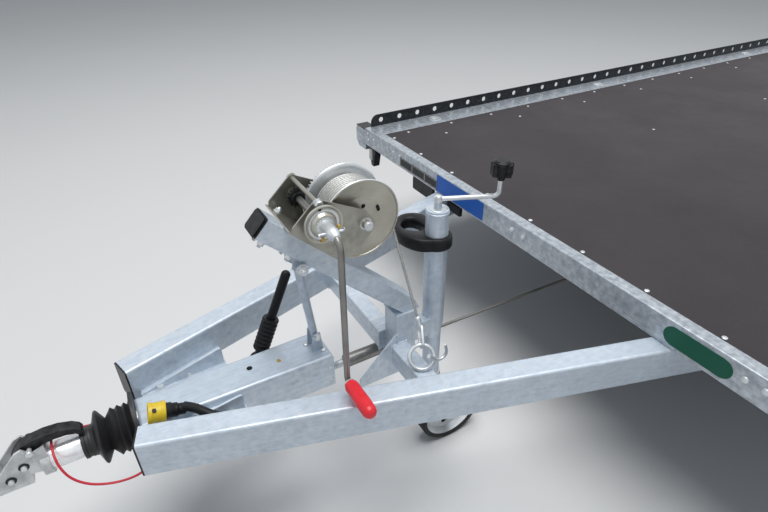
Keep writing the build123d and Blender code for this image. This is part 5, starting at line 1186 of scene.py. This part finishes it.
class TRAILER_OT_floor_fittings(bpy.types.Operator):
    """Makes the floor screws and the lashing points"""
    bl_idname = "trailer.floor_fittings"
    bl_label = "Floor fittings"

    def execute(self, context):
        screws = Moulding()
        for y in END_SCREWS_Y:
            for x in (-END_SCREWS_IN, REAR + END_SCREWS_IN):
                screws.dome((x, y, 0), UP, 7.0, 2.2, 14)
        for half, first, pitch, count, radius, rise, steps in SCREW_ROWS:
            for step in range(count):
                for y in (-half, half):
                    screws.dome((first - pitch * step, y, 0), UP, radius, rise, steps)
        screws.piece("floor_screws", "bright_zinc", slot="zinc")

        dishes = Moulding()
        for x in LASHING_X:
            for y in (-LASHING_Y, LASHING_Y):
                dishes.lathe((x, y, 0), UP, LASHING_DISH, 32)
                hoop = [(x + HOOP_R, y - 14, HOOP_Z)]
                for k in range(13):
                    turn = math.pi * k / 12
                    hoop.append((x + HOOP_R * math.cos(turn), y - 5 + HOOP_R * math.sin(turn), HOOP_Z))
                hoop.append((x - HOOP_R, y - 14, HOOP_Z))
                dishes.tube(hoop, 3.0, 8)
                dishes.box((x - 13, y - 17, 0.8), (x + 13, y - 8, 5.6), 1.2)
        dishes.piece("lashing_points", "bright_zinc", slot="zinc")
        return {"FINISHED"}


class TRAILER_OT_front_fittings(bpy.types.Operator):
    """Makes the front beam's rivets, blank labels and sign, and the boxes that hang under it"""
    bl_idname = "trailer.front_fittings"
    bl_label = "Front fittings"

    def execute(self, context):
        rivets = Moulding()
        for y, z in FRONT_RIVETS:
            rivets.dome((0, y, z), AHEAD, 5.5, 2.6)
        for y, z in ((-81, -31), (-28, -33)):
            rivets.bolt((0, y, z), AHEAD, 13)
        for y, z in ((691, -32), (736, -29)):
            rivets.dome((0, y, z), AHEAD, 9.0, 4.5, 20)
        rivets.piece("front_beam_rivets", "bright_zinc", slot="zinc")

        for name, finish_name, left, above, outline, thickness, chamfer in FRONT_PLATES:
            plate = Moulding()
            plate.slab((0.05, left, above), AHEAD, outline, thickness, chamfer)
            plate.piece(name, finish_name, slot="black_plastic")
        lines = Moulding()
        bottom, top = LABEL_FRAME_Z
        for right, left in LABEL_FRAMES:
            for z in (top, bottom):
                lines.box((0.8, right, z - LABEL_LINE), (1.15, left, z + LABEL_LINE), 0.1)
            for y in (right, left):
                lines.box((0.8, y - LABEL_LINE, bottom), (1.15, y + LABEL_LINE, top), 0.1)
        lines.piece("blank_label_lines", "label_white", slot="lamp_lens")

        hung = Moulding()
        hung.slab((-14, -619, -108), AHEAD, rounded(146, 54, 6), 12, 1.5)
        hung.slab((-12, -405, -103), AHEAD, rounded(84, 34, 3), 11, 1.5)
        hung.box((-10, -640, -82), (-5, -600, -80.2), 0.5)
        hung.box((-10, -410, -94), (-5, -386, -80.2), 0.5)
        for side in SIDES:
            hung.slab((-30, side * 1146, -9.8), UP, rounded(92, 60, 4), 2.6, 0.8)
        hung.piece("hung_front_boxes", "black_plastic", slot="black_plastic")
        return {"FINISHED"}


# Outline of a front marker lamp: outward and up
MARKER_BODY = ((-28, 44.9), (29, 44.9), (24, 10), (10, -44), (-8, -44), (-22, 4))
SIDE_MARKERS_X = (-700, -1500, -3100, -3900)
SIDE_MARKER_Z = -45
SIDE_FRAME_THICK = 4.0


class TRAILER_OT_lamps(bpy.types.Operator):
    """Makes the front marker lamps, rear lenses, side markers and the number plate base"""
    bl_idname = "trailer.lamps"
    bl_label = "Lamps"

    def execute(self, context):
        bodies, trims = Moulding(), Moulding()
        for side in SIDES:
            bodies.slab((-36, side * 1047, -125), AHEAD, [(side * u, v) for u, v in MARKER_BODY], 32, 3)
            trims.slab((-4.5, side * 1056, -115), AHEAD, rounded(25, 56, 9), 4.4, 1.6)
        lamps = bodies.piece("front_marker_bodies", "black_plastic", slot="black_plastic")
        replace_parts(lamps, "front_lamps")
        trims.piece("front_marker_lenses", "clear_lens", slot="lamp_lens")

        low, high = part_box("rear_lamps")
        z = ((low.z + high.z) / 2 - DECK_Z) * 1000
        lens_x = (low.x - BED_FRONT) * 1000 + 0.1
        amber, white, edge = Moulding(), Moulding(), Moulding()
        for side in SIDES:
            amber.slab((lens_x, side * 962, z), ASTERN, rounded(62, 70, 6), 2.0, 0.8)
            white.slab((lens_x, side * 826, z), ASTERN, rounded(40, 70, 6), 2.0, 0.8)
            edge.slab((REAR, side * 900, z), ASTERN, rounded(228, 98, 8), 9.0, 2.0)
        amber.piece("rear_indicator_lenses", "amber_lens", slot="rear_lens")
        white.piece("rear_reversing_lenses", "clear_lens", slot="lamp_lens")
        edge.piece("rear_lamp_frames", "black_plastic", slot="black_plastic")

        frames, marks = Moulding(), Moulding()
        for x in SIDE_MARKERS_X:
            for side in SIDES:
                out = to_side(side)
                face = side * BED_HALF_WIDTH
                frames.slab((x, face, SIDE_MARKER_Z), out, rounded(74, 34, 6), SIDE_FRAME_THICK, 1.0)
                face += side * SIDE_FRAME_THICK
                marks.slab((x, face, SIDE_MARKER_Z), out, rounded(60, 22, 4), 3.0, 1.5)
        frames.piece("side_marker_frames", "black_plastic", slot="black_plastic")
        marks.piece("side_marker_lenses", "amber_lens", slot="rear_lens")
        plate = Moulding()
        plate.slab((REAR, 0, -148), ASTERN, rounded(520, 96, 6), 3.0, 0.8)
        plate.piece("blank_number_plate_base", "label_white", slot="lamp_lens")
        return {"FINISHED"}


# Carrying handle of the jockey leg, in plan: outer loop, the gap for the hand, and the leg's bore
HAND_LOOP = ((396, 112), (440, 110), (480, 88), (500, 40), (497, -2), (477, -42), (440, -63), (400, -49),
             (384, -18), (377, 40), (378, 88))
HAND_GAP = ((449, 42), (473, 14), (470, -12), (448, -31), (425, -24), (417, 6), (421, 38))
HAND_MIDDLE = (447.0, 5.0)
HAND_LOW = 127.0
HAND_STEPS = 120
# Rise above the handle's underside, and how far the wall is set out there
OUTER_ROUNDING = ((0, -6), (1.5, -1.5), (5, 0), (24, 0), (30, -1.5), (33.5, -4.5), (35, -9))
INNER_ROUNDING = ((34, 8), (32, 3.5), (27, 1), (20, 0), (6, 0), (2, 1.5), (0, 5))
LEG_AXIS = (417.0, 77.0)
LEG_BORE_R = 30.2
LEG_WALL_R = 41.0


def cut_corners(outline, rounds=4):
    """Closed outline made smooth by cutting each corner at a quarter and three quarters of its sides."""
    for _ in range(rounds):
        finer = []
        for (x0, y0), (x1, y1) in zip(outline, outline[1:] + outline[:1]):
            for near, far in ((0.75, 0.25), (0.25, 0.75)):
                finer.append((x0 * near + x1 * far, y0 * near + y1 * far))
        outline = finer
    return outline


def reach_of(outline, turn):
    """Distance from the hand gap's middle to an outline, in one direction."""
    dx, dy = math.cos(turn), math.sin(turn)
    best = 0.0
    for (x0, y0), (x1, y1) in zip(outline, outline[1:] + outline[:1]):
        ax, ay, bx, by = x0 - HAND_MIDDLE[0], y0 - HAND_MIDDLE[1], x1 - x0, y1 - y0
        cross = dx * by - dy * bx
        if abs(cross) > 1e-9:
            along = (ax * by - ay * bx) / cross
            share = (ax * dy - ay * dx) / cross
            if along > 0 and 0 <= share <= 1:
                best = max(best, along)
    return best


def leg_wall(turn):
    """Near and far distance to the wall round the leg, in one direction, or None if it misses."""
    ax, ay = LEG_AXIS[0] - HAND_MIDDLE[0], LEG_AXIS[1] - HAND_MIDDLE[1]
    along = ax * math.cos(turn) + ay * math.sin(turn)
    rest = LEG_WALL_R ** 2 - (ax * ax + ay * ay - along * along)
    if rest < 0 or along < 0:
        return None
    return along - math.sqrt(rest), along + math.sqrt(rest)


def bore_leg_hole(handle, context):
    """Cuts the round hole for the leg through the handle's mesh."""
    bore = bmesh.new()
    middle = Matrix.Translation(at(*LEG_AXIS, HAND_LOW + 17))
    radius = LEG_BORE_R / 1000
    bmesh.ops.create_cone(bore, cap_ends=True, segments=64, radius1=radius, radius2=radius, depth=0.08,
                          matrix=middle)
    cutter = mesh_piece("bore_cutter", [], [])
    bore.to_mesh(cutter.data)
    bore.free()
    cut = handle.modifiers.new("bore", "BOOLEAN")
    cut.operation = "DIFFERENCE"
    cut.solver = "EXACT"
    cut.object = cutter
    bored = bpy.data.meshes.new_from_object(handle.evaluated_get(context.evaluated_depsgraph_get()))
    handle.modifiers.clear()
    handle.data = bored
    bpy.data.objects.remove(cutter)


class TRAILER_OT_jockey_handle(bpy.types.Operator):
    """Makes the jockey leg's moulded carrying handle"""
    bl_idname = "trailer.jockey_handle"
    bl_label = "Jockey handle"

    def execute(self, context):
        outer, gap = cut_corners(list(HAND_LOOP)), cut_corners(list(HAND_GAP))
        turns = [2 * math.pi * k / HAND_STEPS for k in range(HAND_STEPS)]
        outside, inside = [], []
        for turn in turns:
            wall = leg_wall(turn)
            far = reach_of(outer, turn)
            near = reach_of(gap, turn)
            outside.append(max(far, wall[1]) if wall else far)
            inside.append(min(near, wall[0]) if wall else near)
        handle = Moulding()
        rings = []
        for reaches, levels in ((outside, OUTER_ROUNDING), (inside, INNER_ROUNDING)):
            for rise, offset in levels:
                rings.append(handle.ring((HAND_MIDDLE[0] + math.cos(turn) * (reach + offset),
                                          HAND_MIDDLE[1] + math.sin(turn) * (reach + offset),
                                          HAND_LOW + rise) for turn, reach in zip(turns, reaches)))
        handle.skin(rings + rings[:1])
        made = handle.piece("jockey_hand_loop", "black_plastic", slot="black_plastic", sharp=50.0)
        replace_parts(made, "jockey_handle")
        bore_leg_hole(made, context)
        return {"FINISHED"}


# Wheels, in millimetres
WHEEL_X = {"front": -2090.0, "rear": -2710.0}
WHEEL_Y = 930.0
WHEEL_Z = -410.0
BOLT_CIRCLE_R = 56.0
DISC_FACE = 19.4
HUB_END = 44.0
WHEEL_BOLT_SEAT = ((0, 0), (12.5, 0), (12.5, 1.5), (9.8, 4.0), (0, 4.0))
HUB_CAP = ((32.4, 0), (33.4, 0.8), (33.4, 5), (32.0, 8), (30.5, 12), (29.5, 17), (26.0, 20.5), (19.0, 22.2),
           (0, 22.6))
VALVE_STEM = ((0, 0), (6.5, 0), (5.2, 5), (3.8, 10), (3.8, 22), (4.6, 22.5), (4.6, 33), (3.6, 34), (0, 34))
VALVE_R = 108.0
VALVE_TURN = 0.4
# Half a tyre's section from its bead to the middle of the tread: radius, distance from the middle plane
SIDEWALL = ((127.3, 67.7), (138.5, 67.7), (141.0, 72.0), (147.0, 84.0), (150.0, 86.5), (151.5, 86.2),
            (158.0, 92.0), (172.0, 97.2), (185.0, 97.6), (186.5, 98.0), (190.0, 98.0), (191.5, 97.0),
            (200.0, 94.2), (208.0, 89.5), (213.5, 83.5))
# Tread from the shoulder inwards: distance from the middle plane, radius, grooved round the tyre
TREAD = ((79.0, 216.0, 0), (57.0, 218.6, 0), (55.5, 218.7, 1), (48.5, 219.0, 1), (47.0, 219.1, 0),
         (25.5, 219.8, 0), (24.0, 219.8, 1), (15.5, 219.9, 1), (14.0, 220.0, 0), (0.0, 220.0, 0))
SHOULDER_EDGE = 56.0
MIDDLE_BAND = (13.0, 26.5)
# Where the points of a tread block lie along its length, and those that are down in the slot behind it
BLOCK_SHARES = (0.0, 0.74, 0.80, 0.94)
SLOT_SHARES = (0.80, 0.94)
SLOT_DEPTH_SHARE = 0.8
# Slant of the slots, in blocks, at a distance from the middle plane
SKEW = 0.35
SKEW_REACH = 76.0


def tyre_rings(moulding, centre, side, blocks, depth):
    """Sidewalls and grooved tread of one tyre, turned about its axle."""
    half = [(radius, out, 0, False) for radius, out in SIDEWALL]
    half += [(radius, out, round_groove, True) for out, radius, round_groove in TREAD]
    profile = half + [(radius, -out, groove, tread) for radius, out, groove, tread in reversed(half[:-1])]
    rings = []
    for radius, out, groove, tread in profile:
        middle_band = MIDDLE_BAND[0] < abs(out) < MIDDLE_BAND[1]
        skew = SKEW * out / SKEW_REACH if tread else 0.0
        ring = []
        for block in range(blocks):
            for share in BLOCK_SHARES:
                crossed = tread and share in SLOT_SHARES and (abs(out) > SHOULDER_EDGE
                                                              or middle_band and block % 2)
                turn = 2 * math.pi * (block + share + skew) / blocks
                reach = radius - (depth if groove else depth * SLOT_DEPTH_SHARE if crossed else 0.0)
                ring.append((centre[0] + reach * math.cos(turn), centre[1] + side * out,
                             centre[2] + reach * math.sin(turn)))
        rings.append(moulding.ring(ring))
    moulding.skin(rings)


class TRAILER_OT_wheels(bpy.types.Operator):
    """Makes the treaded tyres, wheel bolts, hub caps and valves"""
    bl_idname = "trailer.wheels"
    bl_label = "Wheels"

    def execute(self, context):
        settings = context.scene.trailer_tyres
        for end, x in WHEEL_X.items():
            for side_name, side in (("left", 1), ("right", -1)):
                name = f"{end}_{side_name}"
                body = f"{name}_wheel"
                out = Vector(to_side(side))
                hub = Vector((x, side * WHEEL_Y, WHEEL_Z))
                tyre = Moulding()
                tyre_rings(tyre, hub, side, settings.blocks, settings.groove)
                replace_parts(tyre.piece(f"{name}_treaded_tyre", "tyre_rubber", body, "tyre_rubber", 40.0),
                            f"{name}_tyre")
                bolts = Moulding()
                for k in range(5):
                    turn = 2 * math.pi * (k + 0.25) / 5
                    seat = hub + Vector((BOLT_CIRCLE_R * math.cos(turn), side * DISC_FACE,
                                         BOLT_CIRCLE_R * math.sin(turn)))
                    bolts.lathe(seat, out, WHEEL_BOLT_SEAT, 20)
                    bolts.hexagon(seat + out * 4.0, out, 17, 9)
                bolts.piece(f"{name}_wheel_bolts", "bright_zinc", body, "zinc")
                cap = Moulding()
                cap.lathe(hub + out * (HUB_END - 6), out, HUB_CAP, 40)
                cap.piece(f"{name}_hub_cap", "bright_zinc", body, "zinc")
                valve = Moulding()
                foot = (VALVE_R * math.cos(VALVE_TURN), side * 22, VALVE_R * math.sin(VALVE_TURN))
                valve.lathe(hub + Vector(foot), out, VALVE_STEM, 16)
                valve.piece(f"{name}_valve", "black_plastic", body, "black_plastic")
        return {"FINISHED"}


# Mudguards: radius of the arches, and how high above the axles their ends and the valley between them lie
GUARD_R = 264.0
GUARD_EDGES_Y = (818.0, 1045.0)
GUARD_RIBS_Y = (870.0, 931.0, 993.0)
GUARD_END = 30.0
GUARD_VALLEY = 120.0
GUARD_STEPS = 36
# Jockey wheel's axle: ahead, left and above
JOCKEY_X, JOCKEY_Y, JOCKEY_Z = 342.0, 77.0, -520.0
JOCKEY_SPACER = ((8.3, 0), (15, 0), (15, 2.4), (8.3, 2.4))
JOCKEY_HOLES_R = 52.0


def guard_route(radius):
    """Side-view line over both arches of a mudguard, from the rear end to the front end."""
    end = math.degrees(math.asin(GUARD_END / radius))
    valley = math.degrees(math.asin(GUARD_VALLEY / radius))
    route = []
    for x, first, last in ((WHEEL_X["rear"], 180 - end, valley), (WHEEL_X["front"], 180 - valley, end)):
        for k in range(GUARD_STEPS + 1):
            turn = math.radians(first + (last - first) * k / GUARD_STEPS)
            route.append((x + radius * math.cos(turn), WHEEL_Z + radius * math.sin(turn)))
    return route


class TRAILER_OT_running_gear_fittings(bpy.types.Operator):
    """Makes the mudguards' beads and ribs and the axle bolts"""
    bl_idname = "trailer.running_gear_fittings"
    bl_label = "Running gear fittings"

    def execute(self, context):
        beads = Moulding()
        for side in SIDES:
            for places, lift, radius, steps in ((GUARD_EDGES_Y, 0.0, 4.5, 8), (GUARD_RIBS_Y, 2.0, 3.2, 6)):
                for y in places:
                    beads.tube([(x, side * y, z) for x, z in guard_route(GUARD_R + lift)], radius, steps)
        beads.piece("mudguard_beads", "black_plastic", slot="black_plastic")

        bolts = Moulding()
        for x in WHEEL_X.values():
            for side in SIDES:
                for ahead in (20, 160):
                    for y in (734, 766):
                        bolts.bolt((x + ahead, side * y, -176), UP, 17, 6)
                for shift in (-16, 16):
                    bolts.bolt((x + shift, side * 1040.5, -133), to_side(side), 13)
        bolts.piece("axle_bolts", "bright_zinc", slot="zinc")
        return {"FINISHED"}


class TRAILER_OT_jockey_fittings(bpy.types.Operator):
    """Makes the jockey wheel's nuts and holes and the pin through the leg's cap"""
    bl_idname = "trailer.jockey_fittings"
    bl_label = "Jockey fittings"

    def execute(self, context):
        nuts = Moulding()
        for side in SIDES:
            out = to_side(side)
            nuts.bolt((JOCKEY_X, JOCKEY_Y + side * 46.5, JOCKEY_Z), out, 17)
            nuts.lathe((JOCKEY_X, JOCKEY_Y + side * 41.2, JOCKEY_Z), out, JOCKEY_SPACER, 24)
        nuts.piece("jockey_axle_nuts", "bright_zinc", "jockey_fork_body", "zinc")
        # Dark discs of painted shade stand for the holes in the jockey wheel
        holes = Moulding()
        for side in SIDES:
            middle = Vector((JOCKEY_X, JOCKEY_Y + side * 7.9, JOCKEY_Z))
            for place in circle(middle, Vector(AHEAD), Vector(UP), JOCKEY_HOLES_R, 5):
                holes.recess(place, to_side(side), 8.5, 18, 1.0)
        holes.piece("jockey_wheel_holes", "dark_recess", "jockey_wheel_body", "zinc")
        top = Moulding()
        x, y = LEG_AXIS
        top.dome((x, y, 264.8), UP, 8.2, 4.0)
        top.tube([(x, y - 13, 256), (x, y + 13, 256)], 3.0, 10)
        top.dome((x, y, 231.2), UP, 21, 3.0)
        top.piece("jockey_cap_pin", "bright_zinc", slot="zinc")
        return {"FINISHED"}


# Weld beads
POST_SIDES_Y = (52, 118)
WING_REAR, WING_FRONT = 968, 1178
POST_FOOT_SEAM = ((558, 118, -86), (558, 118, -196))
POST_TOP_SEAMS = (((496.5, 66, -26), (496.5, 98, -26)), ((558.5, 54, -26), (558.5, 110, -26)))
WELD_R = 3.0
WELD_RIPPLE = 0.55


def weld_seams():
    """Both ends of every weld bead."""
    rear_top, front_top = (MEMBER_REAR, MEMBER_TOP), (MEMBER_FRONT, MEMBER_TOP)
    front_bottom = (MEMBER_FRONT, MEMBER_BOTTOM)
    seams = [POST_FOOT_SEAM, *POST_TOP_SEAMS]
    for y in POST_SIDES_Y:
        for (x0, z0), (x1, z1) in ((rear_top, front_top), (front_top, front_bottom)):
            seams.append(((x0, y, z0), (x1, y, z1)))
    for half_at, x0, x1, top, bottom in ((beam_inner, MEMBER_REAR, MEMBER_FRONT, MEMBER_TOP, MEMBER_BOTTOM),
                                         (housing_half, WING_REAR, WING_FRONT, WING_TOP, WING_BOTTOM)):
        for side in SIDES:
            y0, y1 = side * half_at(x0), side * half_at(x1)
            seams.append(((x0, y0, top), (x0, y0, bottom)))
            seams.append(((x1, y1, top), (x1, y1, bottom)))
            seams.append(((x0, y0, top), (x1, y1, top)))
    return seams


class TRAILER_OT_welds(bpy.types.Operator):
    """Makes the weld beads of the drawbar and the post"""
    bl_idname = "trailer.welds"
    bl_label = "Welds"

    def execute(self, context):
        beads = Moulding()
        for first, last in weld_seams():
            first, last = Vector(first), Vector(last)
            count = max(2, int((last - first).length / 3.0))
            points = [first.lerp(last, k / count) for k in range(count + 1)]
            beads.tube(points, [WELD_R + WELD_RIPPLE * math.sin(k * 2.1) for k in range(count + 1)], 8)
        beads.piece("weld_seams", "galvanised", slot="galvanised", sharp=60.0)
        return {"FINISHED"}


GROUPS = ((StageSettings, "trailer_stage"), (ColourSettings, "trailer_colours"),
          (TyreSettings, "trailer_tyres"))
OPERATORS = (TRAILER_OT_stage, TRAILER_OT_winch_hook, TRAILER_OT_cords, TRAILER_OT_finishes,
             TRAILER_OT_winch_drum, TRAILER_OT_winch_crank, TRAILER_OT_jockey_handle,
             TRAILER_OT_drawbar_fittings, TRAILER_OT_coupling_fittings, TRAILER_OT_plug_holder,
             TRAILER_OT_floor_fittings, TRAILER_OT_front_fittings, TRAILER_OT_lamps, TRAILER_OT_wheels,
             TRAILER_OT_running_gear_fittings, TRAILER_OT_jockey_fittings, TRAILER_OT_welds)


class TRAILER_PT_panel(bpy.types.Panel):
    """Lists the trailer's operators"""
    bl_idname = "TRAILER_PT_panel"
    bl_label = "Car transporter trailer"
    bl_space_type = "VIEW_3D"
    bl_region_type = "UI"
    bl_category = "Trailer"

    def draw(self, context):
        for operator in OPERATORS:
            self.layout.operator(operator.bl_idname)
        for group, name in GROUPS:
            box = self.layout.box()
            settings = getattr(context.scene, name)
            for key in group.__annotations__:
                box.prop(settings, key)


def register():
    for group, name in GROUPS:
        bpy.utils.register_class(group)
        setattr(bpy.types.Scene, name, PointerProperty(type=group))
    for operator in OPERATORS:
        bpy.utils.register_class(operator)
    bpy.utils.register_class(TRAILER_PT_panel)


def unregister():
    bpy.utils.unregister_class(TRAILER_PT_panel)
    for operator in reversed(OPERATORS):
        bpy.utils.unregister_class(operator)
    for group, name in reversed(GROUPS):
        delattr(bpy.types.Scene, name)
        bpy.utils.unregister_class(group)


def main():
    register()
    for operator in OPERATORS:
        family, _, action = operator.bl_idname.partition(".")
        getattr(getattr(bpy.ops, family), action)()


if __name__ == "__main__":
    main()
